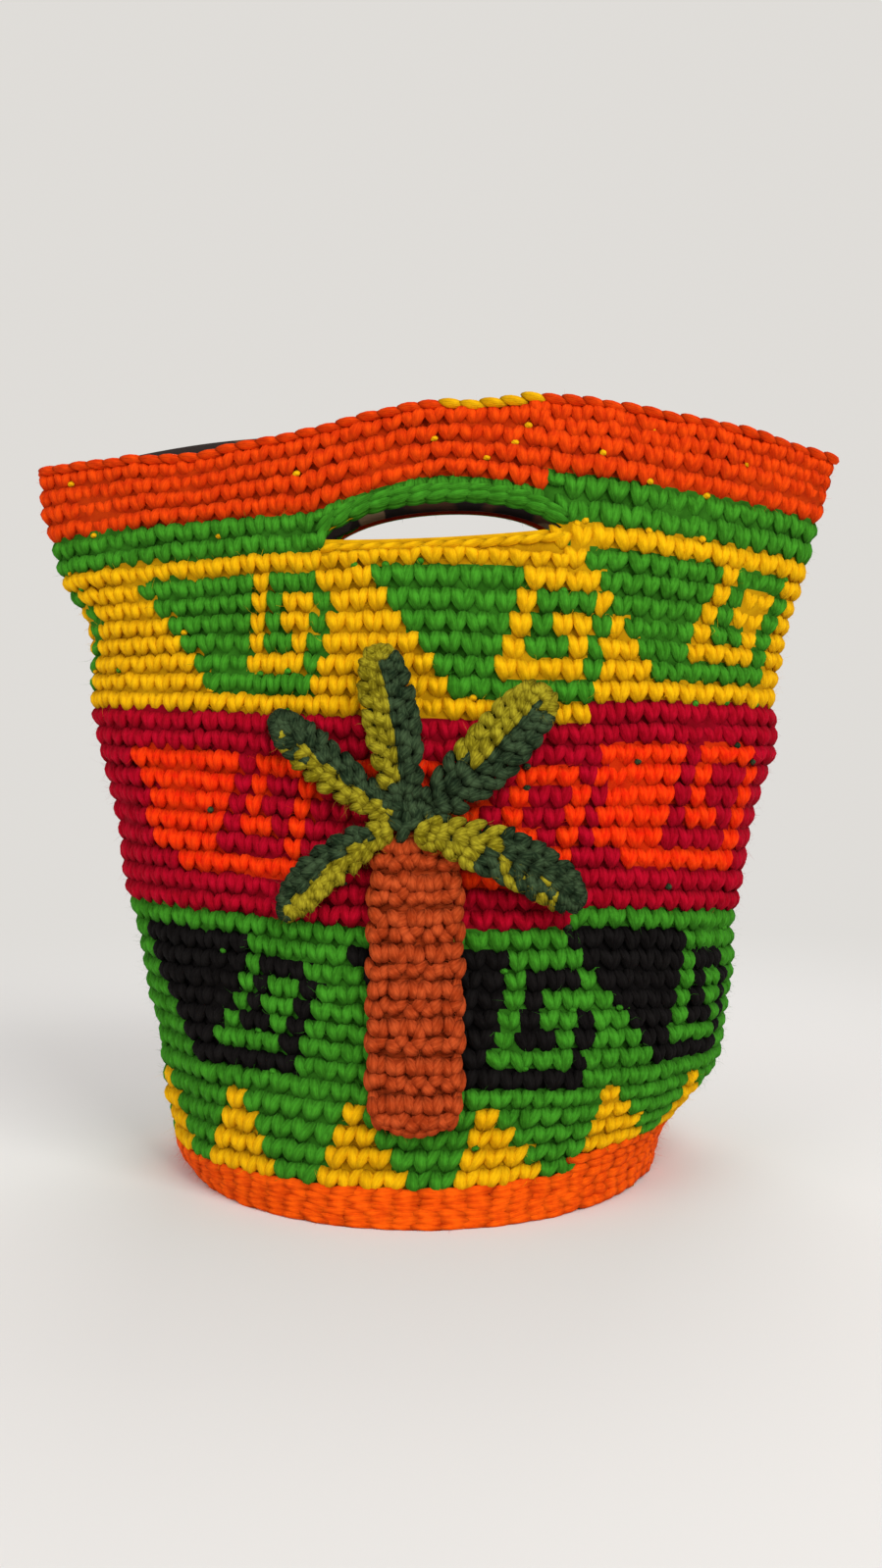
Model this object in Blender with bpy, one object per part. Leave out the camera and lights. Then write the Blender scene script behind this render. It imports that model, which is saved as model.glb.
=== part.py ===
"""Hand-crocheted wayuu bag with two hand slots, a sewn lining and a palm tree worked as an applique.

Metres, +Z up. The origin is the middle of the flat underside, and the front, which carries the
palm, faces -Y.
"""

import math

import bmesh
import bpy

# Crochet
ROUNDS = 39
ROUND_MARGIN = 0.5
COLUMNS = 48
FABRIC = 0.0048
RIDGE = 0.0011
JOG_X = 0.0445

# Overall sizes of the outer surface
BASE_RADIUS = 0.0785
MOUTH_LEFT = 0.123
MOUTH_RIGHT = 0.131
MOUTH_HALF_DEPTH = 0.025
FRONT_HEIGHT = 0.2345
CORNER_HEIGHT = 0.217
UNDERSIDE_LIFT = 0.0035
BASE_THICKNESS = 0.0048

# Hand slots
SLOT_LENGTH = 0.0735
SLOT_HEIGHT = 0.0108
SLOT_CENTRE_X = 0.0058
SLOT_BOTTOM_Z = 0.1950
SLOT_SAG = 0.0012
SLOT_TILT = 0.0018
SLOT_BACK_LIFT = 0.0045
SLOT_WALL_Y = 0.035

# Lining
LINING_THICKNESS = 0.001
SEAM_GAP = 0.0003
LINING_DROP_ROUNDS = 0.1
LINING_SLOT_MARGIN = 0.001

# Palm applique
TRUNK_WIDTH = 0.027
TRUNK_FOOT_Z = 0.0245
TRUNK_TOP_Z = 0.1025
TRUNK_CENTRE_X = -0.0014
TRUNK_THICKNESS = 0.005
TRUNK_ROUNDS = 8
LEAF_THICKNESS = 0.0042
LEAF_STITCHES = 9
LEAF_SPREAD = 0.05
TIE_X = TRUNK_CENTRE_X - 0.0022
TIE_Z = TRUNK_TOP_Z + 0.008
TIE_RADIUS = 0.0034

# Share of the way up, then shares of the way from the base to the mouth for the left reach, the right
# reach and the half depth, and of the full height for the front centre, left corner and right corner.
SHAPE = (
    (0.000, -0.102, -0.086, -0.047, 0.000, 0.000, 0.000),
    (0.051, 0.011, -0.010, 0.028, 0.047, 0.032, 0.060),
    (0.180, 0.124, 0.314, 0.159, 0.162, 0.152, 0.157),
    (0.385, 0.348, 0.429, 0.402, 0.343, 0.364, 0.341),
    (0.641, 0.618, 0.657, 0.664, 0.597, 0.650, 0.643),
    (0.846, 0.798, 0.810, 0.850, 0.827, 0.848, 0.839),
    (1.000, 1.000, 1.000, 1.000, 1.000, 1.000, 1.000),
)

# How far the fabric is pulled up from that shape, in metres. The stations are at PULL_ACROSS, from the left
# corner to the right one, and each row starts with its share of the way up.
PULL_ACROSS = (-1.0, -0.58, -0.30, 0.0, 0.25, 0.42, 0.60, 1.0)
PULL = (
    (0.00, 0.0, 0.0, 0.0, 0.0, 0.0, 0.0, 0.0, 0.0),
    (0.05, -0.0008, -0.0014, -0.0022, -0.0022, -0.0018, -0.0010, -0.0010, -0.0005),
    (0.18, 0.0036, 0.0024, 0.0, -0.0012, -0.0016, -0.0022, -0.0020, -0.0010),
    (0.38, 0.0036, 0.0030, 0.0006, 0.0, 0.0, 0.0014, 0.0016, 0.0016),
    (0.64, 0.0022, 0.0026, 0.0018, 0.0018, 0.0002, 0.0004, 0.0013, 0.0006),
    (0.84, 0.0014, 0.0002, 0.0, 0.0004, 0.0012, 0.0027, 0.0027, 0.0036),
    (0.89, 0.0014, 0.0002, -0.0010, 0.0028, 0.0036, 0.0048, 0.0044, 0.0062),
    (1.00, 0.0036, -0.0033, -0.0010, 0.0020, 0.0052, 0.0058, 0.0053, 0.0064),
)

# Leaf name, centre line from base to tip as (x, z) from the tie in shares of LEAF_SPREAD, and the full
# width at its widest.
LEAVES = (
    ("palm_leaf_upper_left", ((-0.118, 0.050), (-0.398, 0.240), (-0.678, 0.500), (-0.788, 0.620)), 0.0125),
    ("palm_leaf_top", ((-0.028, 0.120), (-0.064, 0.430), (-0.148, 0.830), (-0.184, 1.000)), 0.0148),
    ("palm_leaf_upper_right", ((0.132, 0.070), (0.442, 0.320), (0.712, 0.640), (0.804, 0.770)), 0.0158),
    ("palm_leaf_lower_left", ((-0.148, -0.074), (-0.408, -0.190), (-0.628, -0.420), (-0.698, -0.580)), 0.0115),
    ("palm_leaf_lower_right", ((0.132, -0.040), (0.522, -0.160), (0.862, -0.380), (1.022, -0.530)), 0.0145),
)

ORANGE = (0.87, 0.08, 0.002)
GREEN = (0.02, 0.26, 0.03)
YELLOW = (0.93, 0.45, 0.002)
RED = (0.45, 0.003, 0.012)
BLACK = (0.006, 0.005, 0.006)
RUST = (0.6, 0.09, 0.02)
LEAF_GREEN = (0.015, 0.05, 0.03)
LINING_BROWN = (0.05, 0.03, 0.02)

# First round of each colour band, from the base up.
BANDS = ((0, "orange"), (2, "yellow"), (6, "green"), (7, "black"), (14, "green"), (15, "red"),
         (25, "yellow"), (33, "green"), (35, "orange"))
BAND_COLOURS = {"orange": ORANGE, "yellow": YELLOW, "green": GREEN, "black": BLACK, "red": RED}


def clear_scene():
    """Remove every object of the start-up scene."""
    for obj in list(bpy.data.objects):
        bpy.data.objects.remove(obj, do_unlink=True)


def material(name, colour, roughness=0.9):
    """A Principled material of one colour."""
    made = bpy.data.materials.new(name)
    made.use_nodes = True
    shader = made.node_tree.nodes["Principled BSDF"]
    shader.inputs["Base Color"].default_value = (*colour, 1.0)
    shader.inputs["Roughness"].default_value = roughness
    shader.inputs["Metallic"].default_value = 0.0
    return made


def shape_value(share, column):
    """Smooth curve through one column of SHAPE."""
    share = min(max(share, 0.0), 1.0)
    index = 0
    while index < len(SHAPE) - 2 and share > SHAPE[index + 1][0]:
        index += 1
    span = SHAPE[index + 1][0] - SHAPE[index][0]
    t = (share - SHAPE[index][0]) / span

    def slope(i):
        low = max(i - 1, 0)
        high = min(i + 1, len(SHAPE) - 1)
        return (SHAPE[high][column] - SHAPE[low][column]) / (SHAPE[high][0] - SHAPE[low][0])

    start = SHAPE[index][column]
    end = SHAPE[index + 1][column]
    return ((2 * t**3 - 3 * t**2 + 1) * start + (t**3 - 2 * t**2 + t) * span * slope(index)
            + (3 * t**2 - 2 * t**3) * end + (t**3 - t**2) * span * slope(index + 1))


def section(share):
    """Middle, half width, half depth and cosine power of the section at a share of the way up."""
    left = BASE_RADIUS + (MOUTH_LEFT - BASE_RADIUS) * shape_value(share, 1)
    right = BASE_RADIUS + (MOUTH_RIGHT - BASE_RADIUS) * shape_value(share, 2)
    depth = BASE_RADIUS + (MOUTH_HALF_DEPTH - BASE_RADIUS) * shape_value(share, 3)
    power = 1.0 + 0.65 * max((share - 0.46) / 0.54, 0.0) ** 1.3
    return (right - left) / 2, (left + right) / 2, depth, power


def between(stations, values, place):
    """Value at a place between stations, on straight lines from one to the next."""
    index = 0
    while index < len(stations) - 2 and place > stations[index + 1]:
        index += 1
    t = (place - stations[index]) / (stations[index + 1] - stations[index])
    t = min(max(t, 0.0), 1.0)
    return values[index] * (1.0 - t) + values[index + 1] * t


def pull(share, across, back):
    """How far the fabric is pulled up; on the back it fades from the corners to the middle."""
    stations = [row[0] for row in PULL]
    if back:
        corner = 1 if across < 0 else len(PULL_ACROSS)
        return between(stations, [row[corner] for row in PULL], share) * across * across
    return between(stations, [between(PULL_ACROSS, row[1:], across) for row in PULL], share)


def height(share, across, back):
    """Height of the surface at a share of the way up, across from -1 (left) to 1 (right)."""
    middle = FRONT_HEIGHT * shape_value(share, 4)
    upper = max((share - 0.64) / 0.36, 0.0)
    if across < 0:
        corner = CORNER_HEIGHT * shape_value(share, 5)
        power = 2.0 - (0.4 if back else 0.7) * upper
    else:
        corner = CORNER_HEIGHT * shape_value(share, 6)
        power = 2.0
    return middle + (corner - middle) * abs(across) ** power + pull(share, across, back)


def surface(share, angle, offset):
    """Point of the section grown by offset; angle is 0 at the front centre and rises to the right."""
    middle, half, depth, power = section(share)
    sine = math.sin(angle)
    cosine = math.cos(angle)
    x = middle + (half + offset) * sine
    y = -math.copysign((depth + offset) * abs(cosine) ** power, cosine)
    return x, y, height(share, sine, cosine < 0)


def front_point(x, z, offset):
    """Point on the front at a given x and z, standing off the surface by offset."""
    low, high = 0.0, 1.0
    for _ in range(30):
        share = (low + high) / 2
        middle, half, depth, power = section(share)
        across = min(max((x - middle) / half, -1.0), 1.0)
        if height(share, across, False) < z:
            low = share
        else:
            high = share
    cosine = math.sqrt(max(1.0 - across * across, 0.0))
    return x, -depth * cosine**power - offset, z


def jog_angle(share):
    """Angle where each round of the spiral starts, a little right of the front centre."""
    middle, half, _, _ = section(share)
    return math.asin((JOG_X - middle) / half)


def round_share(row, turn):
    """Share of the way up of a place in the spiral; turn runs from 0 to 1 leftwards from the jog."""
    rise = turn * min(row / 2, 1.0) if row < ROUNDS - 1 else turn * (ROUNDS - row + ROUND_MARGIN) / 2
    return (row + rise) / (ROUNDS + ROUND_MARGIN)


def ring(row, offset):
    """One ring of points along the spiral, leftwards from the jog."""
    points = []
    for column in range(COLUMNS):
        turn = column / COLUMNS
        share = round_share(row, turn)
        points.append(surface(share, jog_angle(share) - turn * 2 * math.pi, offset))
    return points


def flat_ring(radius_share, z, offset):
    """One level ring over the base, scaled from the lowest round."""
    points = []
    for column in range(COLUMNS):
        x, y, _ = surface(0.0, jog_angle(0.0) - column / COLUMNS * 2 * math.pi, offset)
        points.append((x * radius_share, y * radius_share, z))
    return points


def finished(name, mesh):
    """Turn a closed bmesh the right way out and make it an object."""
    bmesh.ops.recalc_face_normals(mesh, faces=mesh.faces)
    if mesh.calc_volume(signed=True) < 0:
        bmesh.ops.reverse_faces(mesh, faces=mesh.faces)
    data = bpy.data.meshes.new(name)
    mesh.to_mesh(data)
    mesh.free()
    made = bpy.data.objects.new(name, data)
    bpy.context.scene.collection.objects.link(made)
    return made


def closed_shell(name, rings, face_material=None):
    """Closed body through a list of rings, with a fan at each end.

    Every quad is split along the same diagonal from its lower ring, so nested walls stay parallel.
    """
    mesh = bmesh.new()
    rows = [[mesh.verts.new(point) for point in points] for points in rings]
    for index in range(len(rows) - 1):
        lower, upper = rows[index], rows[index + 1]
        if sum(vert.co.z for vert in lower) > sum(vert.co.z for vert in upper):
            lower, upper = upper, lower
        for column in range(COLUMNS):
            after = (column + 1) % COLUMNS
            halves = (mesh.faces.new((lower[column], lower[after], upper[after])),
                      mesh.faces.new((lower[column], upper[after], upper[column])))
            for face in halves:
                face.material_index = face_material(index) if face_material else 0
    for row in (rows[0], rows[-1]):
        centre = mesh.verts.new((0.0, 0.0, row[0].co.z))
        for column in range(COLUMNS):
            mesh.faces.new((centre, row[column], row[(column + 1) % COLUMNS]))
    return finished(name, mesh)


def slot_cutter(name, margin):
    """Lens-shaped bar that cuts the front and the back hand slot in one go."""
    half = SLOT_LENGTH / 2 + margin
    steps = 9
    lower = []
    upper = []
    for step in range(steps + 1):
        across = -1.0 + 2.0 * step / steps
        bow = 1.0 - across * across
        x = SLOT_CENTRE_X + across * half
        bottom = SLOT_BOTTOM_Z + SLOT_TILT * across
        lower.append((x, bottom - SLOT_SAG * bow - margin))
        upper.append((x, bottom + 0.0018 * (1.0 - across**4) + (SLOT_HEIGHT - 0.003) * bow**0.75 + margin))
    outline = lower + upper[::-1]
    reach = BASE_RADIUS
    slope = SLOT_BACK_LIFT / (2 * SLOT_WALL_Y)
    mesh = bmesh.new()
    near = [mesh.verts.new((x, -reach, z - slope * (reach - SLOT_WALL_Y))) for x, z in outline]
    far = [mesh.verts.new((x, reach, z + slope * (reach + SLOT_WALL_Y))) for x, z in outline]
    count = len(outline)
    for index in range(count):
        after = (index + 1) % count
        mesh.faces.new((near[index], near[after], far[after], far[index]))
    mesh.faces.new(near[::-1])
    mesh.faces.new(far)
    bmesh.ops.remove_doubles(mesh, verts=mesh.verts, dist=0.00001)
    cutter = finished(name, mesh)
    cutter.hide_render = True
    cutter.display_type = "WIRE"
    return cutter


def cut(target, cutter):
    """Cut a body with a Boolean."""
    boolean = target.modifiers.new("hand_slots", "BOOLEAN")
    boolean.operation = "DIFFERENCE"
    boolean.solver = "EXACT"
    boolean.object = cutter


INNER_ROWS = (2.6, 4.6, 7.0, 11.0, 15.0, 20.0, 25.0, 29.0, 32.0, 35.0, 38.0)


def level_ring(row, offset):
    """One level ring, halfway along the spiral's rise."""
    share = round_share(row, 0.5)
    start = jog_angle(share)
    return [surface(share, start - column / COLUMNS * 2 * math.pi, offset) for column in range(COLUMNS)]


def inner_rings(offset, floor_z, top_row):
    """Rings of an inner wall, from the rim down to the floor."""
    rings = [level_ring(top_row, -offset)]
    rings += [level_ring(row, -offset) for row in INNER_ROWS[::-1]]
    inset = 1.0 - (offset + FABRIC) / BASE_RADIUS
    rings.append(flat_ring(inset, floor_z + FABRIC / 2, 0.0))
    rings.append(flat_ring(inset * 0.94, floor_z, 0.0))
    return rings


def band_of(row):
    """Name of the colour band that a round belongs to."""
    found = BANDS[0][1]
    for first, name in BANDS:
        if row >= first:
            found = name
    return found


def make_body():
    """The crocheted bag: base, side and rim in one spiral, with both slots cut."""
    rings = [flat_ring(0.5, 0.0, 0.0), flat_ring(0.955, 0.0, 0.0), flat_ring(1.0, UNDERSIDE_LIFT / 3, 0.0)]
    rows = [None, None, None]
    rings.append(ring(0.5, RIDGE))
    rows.append(0)
    for row in range(1, ROUNDS):
        rings.append(ring(row, -RIDGE))
        rings.append(ring(row + 0.5, RIDGE))
        rows += [row, row]
    rings.append(ring(ROUNDS, 0.0))
    rings.append(ring(ROUNDS + 0.2, -FABRIC / 2))
    rings += inner_rings(FABRIC, BASE_THICKNESS, ROUNDS)
    names = list(BAND_COLOURS)

    def face_material(index):
        row = rows[index] if index < len(rows) else ROUNDS - 1
        return names.index(band_of(row or 0))

    body = closed_shell("bag_body", rings, face_material)
    for name in names:
        body.data.materials.append(material("crochet_" + name, BAND_COLOURS[name]))
    cut(body, slot_cutter("slot_cutter", 0.0))
    return body


def make_lining():
    """Printed cotton liner, one seam gap inside the crochet and open at the mouth."""
    outer = FABRIC + SEAM_GAP
    inner = outer + LINING_THICKNESS
    floor_z = BASE_THICKNESS + SEAM_GAP
    hem = ROUNDS - LINING_DROP_ROUNDS
    rings = inner_rings(outer, floor_z, hem)[::-1]
    rings += inner_rings(inner, floor_z + LINING_THICKNESS, hem)
    lining = closed_shell("lining", rings)
    lining.data.materials.append(material("lining_cotton", LINING_BROWN))
    cut(lining, slot_cutter("lining_slot_cutter", LINING_SLOT_MARGIN))
    return lining


def applique(name, rows, thickness, colour):
    """Domed crochet patch on the front; rows hold (x, z) points across the patch."""
    seat = RIDGE + SEAM_GAP
    mesh = bmesh.new()
    backs = []
    fronts = []
    across = len(rows[0]) - 1
    for index, row in enumerate(rows):
        back = []
        front = []
        for step, (x, z) in enumerate(row):
            side = 2.0 * step / across - 1.0
            dome = 0.55 + 0.45 * (1.0 - side**4)
            rib = 1.0 if index % 2 else 0.74
            back.append(mesh.verts.new(front_point(x, z, seat)))
            front.append(mesh.verts.new(front_point(x, z, seat + thickness * dome * rib)))
        backs.append(back)
        fronts.append(front)
    for index in range(len(rows) - 1):
        for step in range(across):
            mesh.faces.new((fronts[index][step], fronts[index][step + 1],
                            fronts[index + 1][step + 1], fronts[index + 1][step]))
            mesh.faces.new((backs[index][step], backs[index + 1][step],
                            backs[index + 1][step + 1], backs[index][step + 1]))
        for step in (0, across):
            mesh.faces.new((fronts[index][step], fronts[index + 1][step],
                            backs[index + 1][step], backs[index][step]))
    for index in (0, len(rows) - 1):
        for step in range(across):
            mesh.faces.new((fronts[index][step], fronts[index][step + 1],
                            backs[index][step + 1], backs[index][step]))
    made = finished(name, mesh)
    made.data.materials.append(material(name + "_yarn", colour))
    return made


def make_trunk():
    """Crocheted trunk with a rounded foot and a narrower, rounded top."""
    rows = []
    count = TRUNK_ROUNDS * 2
    for index in range(count + 1):
        t = index / count
        z = TRUNK_FOOT_Z + (TRUNK_TOP_Z - TRUNK_FOOT_Z) * t
        foot = min(1.0, 0.62 + 4.0 * t)
        top = min(1.0, 0.42 + 0.58 * math.sqrt(min((1.0 - t) / 0.16, 1.0)))
        half = TRUNK_WIDTH / 2 * min(foot, top)
        rows.append([(TRUNK_CENTRE_X + half * side, z) for side in (-1.0, -0.6, -0.2, 0.2, 0.6, 1.0)])
    return applique("palm_trunk", rows, TRUNK_THICKNESS, RUST)


def bezier(points, t):
    """Point and direction on a cubic Bezier curve through four guide points."""
    (ax, az), (bx, bz), (cx, cz), (dx, dz) = points
    s = 1.0 - t
    x = s**3 * ax + 3 * s * s * t * bx + 3 * s * t * t * cx + t**3 * dx
    z = s**3 * az + 3 * s * s * t * bz + 3 * s * t * t * cz + t**3 * dz
    along_x = s * s * (bx - ax) + 2 * s * t * (cx - bx) + t * t * (dx - cx)
    along_z = s * s * (bz - az) + 2 * s * t * (cz - bz) + t * t * (dz - cz)
    length = math.hypot(along_x, along_z)
    return x, z, along_x / length, along_z / length


def make_leaf(name, guide, width):
    """One leaf: a narrow base that swells and ends in a blunt tip."""
    rows = []
    count = LEAF_STITCHES * 2
    for index in range(count + 1):
        t = index / count
        x, z, along_x, along_z = bezier(guide, t)
        x = TIE_X + x * LEAF_SPREAD
        z = TIE_Z + z * LEAF_SPREAD
        swell = 0.42 + 0.58 * math.sin(min(t / 0.45, 1.0) * math.pi / 2)
        tip = math.sqrt(max(1.0 - (max(t - 0.62, 0.0) / 0.40) ** 2, 0.04))
        half = width / 2 * swell * tip
        rows.append([(x - along_z * half * side, z + along_x * half * side) for side in (-1.0, -0.5, 0.0, 0.5, 1.0)])
    return applique(name, rows, LEAF_THICKNESS, LEAF_GREEN)


def make_tie():
    """Knot of the leaf stems over the top of the trunk."""
    rows = []
    count = 4
    for index in range(count + 1):
        level = -0.92 + 1.84 * index / count
        half = TIE_RADIUS * math.sqrt(1.0 - level * level)
        rows.append([(TIE_X + half * side, TIE_Z + TIE_RADIUS * level) for side in (-1.0, -0.5, 0.0, 0.5, 1.0)])
    return applique("leaf_tie", rows, LEAF_THICKNESS, LEAF_GREEN)


clear_scene()
make_body()
make_lining()
make_trunk()
for leaf_name, leaf_guide, leaf_width in LEAVES:
    make_leaf(leaf_name, leaf_guide, leaf_width)
make_tie()
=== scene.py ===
"""Looks of a hand-crocheted wayuu bag: every stitch in its yarn, a printed lining and a palm applique.

Sizes are in metres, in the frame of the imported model: +Z up, the front of the bag faces -Y.
"""

from __future__ import annotations

import logging
import math
from collections.abc import Callable, Sequence
from dataclasses import dataclass, field
from enum import Enum

import bmesh
import bpy
import numpy as np
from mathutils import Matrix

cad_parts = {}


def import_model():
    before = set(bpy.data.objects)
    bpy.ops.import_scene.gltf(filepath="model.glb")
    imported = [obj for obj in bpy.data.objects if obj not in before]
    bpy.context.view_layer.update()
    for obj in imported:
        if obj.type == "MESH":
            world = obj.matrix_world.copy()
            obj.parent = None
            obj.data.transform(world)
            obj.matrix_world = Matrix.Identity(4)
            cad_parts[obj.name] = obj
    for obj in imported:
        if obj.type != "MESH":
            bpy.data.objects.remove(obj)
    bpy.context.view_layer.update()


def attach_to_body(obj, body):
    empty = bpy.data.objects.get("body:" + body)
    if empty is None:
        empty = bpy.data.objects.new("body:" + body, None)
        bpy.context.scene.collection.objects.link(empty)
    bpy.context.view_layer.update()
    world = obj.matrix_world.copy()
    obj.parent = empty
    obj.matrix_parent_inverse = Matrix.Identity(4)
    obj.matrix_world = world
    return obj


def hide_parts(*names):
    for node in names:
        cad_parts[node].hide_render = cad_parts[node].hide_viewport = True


log = logging.getLogger("bag")

Colour = tuple[float, float, float]


class Yarn(Enum):
    """Yarns of the bag, in the order of their material slots."""

    ORANGE = 0
    YELLOW = 1
    GREEN = 2
    BLACK = 3
    RED = 4
    MOTIF_ORANGE = 5
    RUST = 6
    LEAF_DARK = 7
    OLIVE = 8
    # Painted light: a lit copy of the orange yarn, used for the base.
    LIT_BASE_ORANGE = 9


@dataclass(frozen=True)
class YarnFinish:
    """Colour and fuzz of one yarn."""

    name: str
    colour: Colour
    bright: Colour
    roughness: float = 0.9
    sheen: float = 0.06


FINISHES: dict[Yarn, YarnFinish] = {
    Yarn.ORANGE: YarnFinish("orange_yarn", (0.62, 0.032, 0.001), (0.88, 0.070, 0.002)),
    Yarn.YELLOW: YarnFinish("yellow_yarn", (0.74, 0.36, 0.001), (0.95, 0.52, 0.003)),
    Yarn.GREEN: YarnFinish("green_yarn", (0.030, 0.17, 0.008), (0.058, 0.31, 0.018)),
    Yarn.BLACK: YarnFinish("black_yarn", (0.0040, 0.0030, 0.0028), (0.0095, 0.0080, 0.0075)),
    Yarn.RED: YarnFinish("red_yarn", (0.31, 0.0004, 0.008), (0.50, 0.002, 0.020)),
    Yarn.MOTIF_ORANGE: YarnFinish("motif_orange_yarn", (0.80, 0.016, 0.001), (1.0, 0.055, 0.002)),
    Yarn.RUST: YarnFinish("rust_yarn", (0.34, 0.036, 0.005), (0.58, 0.085, 0.018)),
    Yarn.LEAF_DARK: YarnFinish("leaf_green_yarn", (0.008, 0.018, 0.007), (0.052, 0.088, 0.038)),
    Yarn.OLIVE: YarnFinish("olive_yarn", (0.15, 0.12, 0.002), (0.44, 0.37, 0.020)),
    # Painted light: the base's orange is the orange yarn made brighter and yellower for the warm light
    # bounced onto the base.
    Yarn.LIT_BASE_ORANGE: YarnFinish("lit_base_orange_yarn", (0.74, 0.062, 0.001), (0.97, 0.115, 0.002)),
}


class Strand(Enum):
    """Which way a leg of a stitch leans."""

    LEFT = -1
    RIGHT = 1


def smooth_step(value: np.ndarray | float, low: float, high: float) -> np.ndarray:
    """Smooth ramp from 0 at low to 1 at high."""
    t = np.clip((np.asarray(value, float) - low) / (high - low), 0.0, 1.0)
    return t * t * (3.0 - 2.0 * t)


@dataclass
class BagShape:
    """Outer surface of the bag, unrolled into rounds and stitches.

    A place on it is (rounds up, stitches to the right of the front centre).
    """

    rounds: int = 39
    round_margin: float = 0.5
    stitches: int = 84
    lean: float = 0.29
    base_radius: float = 0.0785
    mouth_left: float = 0.123
    mouth_right: float = 0.131
    mouth_half_depth: float = 0.025
    front_height: float = 0.2345
    corner_height: float = 0.217
    slot_length: float = 0.0735
    slot_height: float = 0.0108
    slot_centre: float = 0.0058
    slot_bottom: float = 0.1950
    slot_sag: float = 0.0012
    slot_tilt: float = 0.0018
    slot_back_lift: float = 0.0045
    slot_wall: float = 0.035
    grid_step: float = 0.25
    section_steps: int = 1441
    # Where the mouth starts to flatten, as a share of the way up, and by how much.
    flatten_from: float = 0.46
    flatten: float = 0.65
    ripple: float = 0.00040
    # Share of the way up, then shares of the way from base to mouth of the left reach, the right reach
    # and the half depth, and shares of the height at the front centre, left corner and right corner.
    shape: tuple[tuple[float, ...], ...] = (
        (0.000, -0.102, -0.086, -0.047, 0.000, 0.000, 0.000),
        (0.051, 0.011, -0.010, 0.028, 0.047, 0.032, 0.060),
        (0.180, 0.124, 0.314, 0.159, 0.162, 0.152, 0.157),
        (0.385, 0.348, 0.429, 0.402, 0.343, 0.364, 0.341),
        (0.641, 0.618, 0.657, 0.664, 0.597, 0.650, 0.643),
        (0.846, 0.798, 0.810, 0.850, 0.827, 0.848, 0.839),
        (1.000, 1.000, 1.000, 1.000, 1.000, 1.000, 1.000),
    )
    # How far the fabric is pulled up from that shape: stations across the front from the left corner to
    # the right one, then rows that start with their share of the way up.
    pull_across: tuple[float, ...] = (-1.0, -0.58, -0.30, 0.0, 0.25, 0.42, 0.60, 1.0)
    pull: tuple[tuple[float, ...], ...] = (
        (0.00, 0.0, 0.0, 0.0, 0.0, 0.0, 0.0, 0.0, 0.0),
        (0.05, -0.0008, -0.0014, -0.0022, -0.0022, -0.0018, -0.0010, -0.0010, -0.0005),
        (0.18, 0.0036, 0.0024, 0.0, -0.0012, -0.0016, -0.0022, -0.0020, -0.0010),
        (0.38, 0.0036, 0.0030, 0.0006, 0.0, 0.0, 0.0014, 0.0016, 0.0016),
        (0.64, 0.0022, 0.0026, 0.0018, 0.0018, 0.0002, 0.0004, 0.0013, 0.0006),
        (0.84, 0.0014, 0.0002, 0.0, 0.0004, 0.0012, 0.0027, 0.0027, 0.0036),
        (0.89, 0.0014, 0.0002, -0.0010, 0.0028, 0.0036, 0.0048, 0.0044, 0.0062),
        (1.00, 0.0036, -0.0033, -0.0010, 0.0020, 0.0052, 0.0058, 0.0053, 0.0064),
    )
    # How far the fabric above and below each slot is pushed up or down, by round, at the slot's middle.
    front_push: tuple[tuple[float, float], ...] = (
        (30.0, 0.0), (33.0, 0.0012), (34.0, 0.0056), (35.0, 0.0055), (39.0, 0.0012), (41.0, 0.0010))
    back_push: tuple[tuple[float, float], ...] = (
        (26.0, 0.0), (33.6, 0.0031), (34.6, 0.0073), (36.0, 0.0045), (39.0, 0.0015), (41.0, 0.0010))
    # Level, then how much further the left and the right side reach than the shape table says.
    side_fit: tuple[tuple[float, float, float], ...] = (
        (12.0, 0.0, 0.0), (15.0, -0.0006, -0.0008), (18.0, -0.0008, -0.0004), (22.0, 0.0, 0.0008),
        (23.5, 0.0008, 0.0022), (25.0, 0.0006, 0.0010), (26.0, -0.0006, 0.0), (28.0, -0.0024, -0.0008),
        (30.0, -0.0022, -0.0014), (31.5, 0.0, 0.0008), (33.0, 0.0026, 0.0026), (35.0, 0.0034, 0.0030),
        (37.0, 0.0028, 0.0034), (39.0, 0.0006, 0.0020), (40.5, 0.0, 0.0014))
    # Where each round starts, in stitches right of the front centre: level, then place.
    starts: tuple[tuple[float, float], ...] = (
        (0.0, 8.4), (2.5, 8.4), (6.0, 7.8), (12.0, 7.3), (15.5, 7.0), (19.0, 8.6), (23.5, 8.6), (25.5, 7.7),
        (26.4, 8.5), (28.0, 9.0), (30.6, 9.0), (31.5, 7.65), (32.5, 7.43), (33.5, 5.65), (34.5, 5.25),
        (41.0, 5.25))
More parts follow.
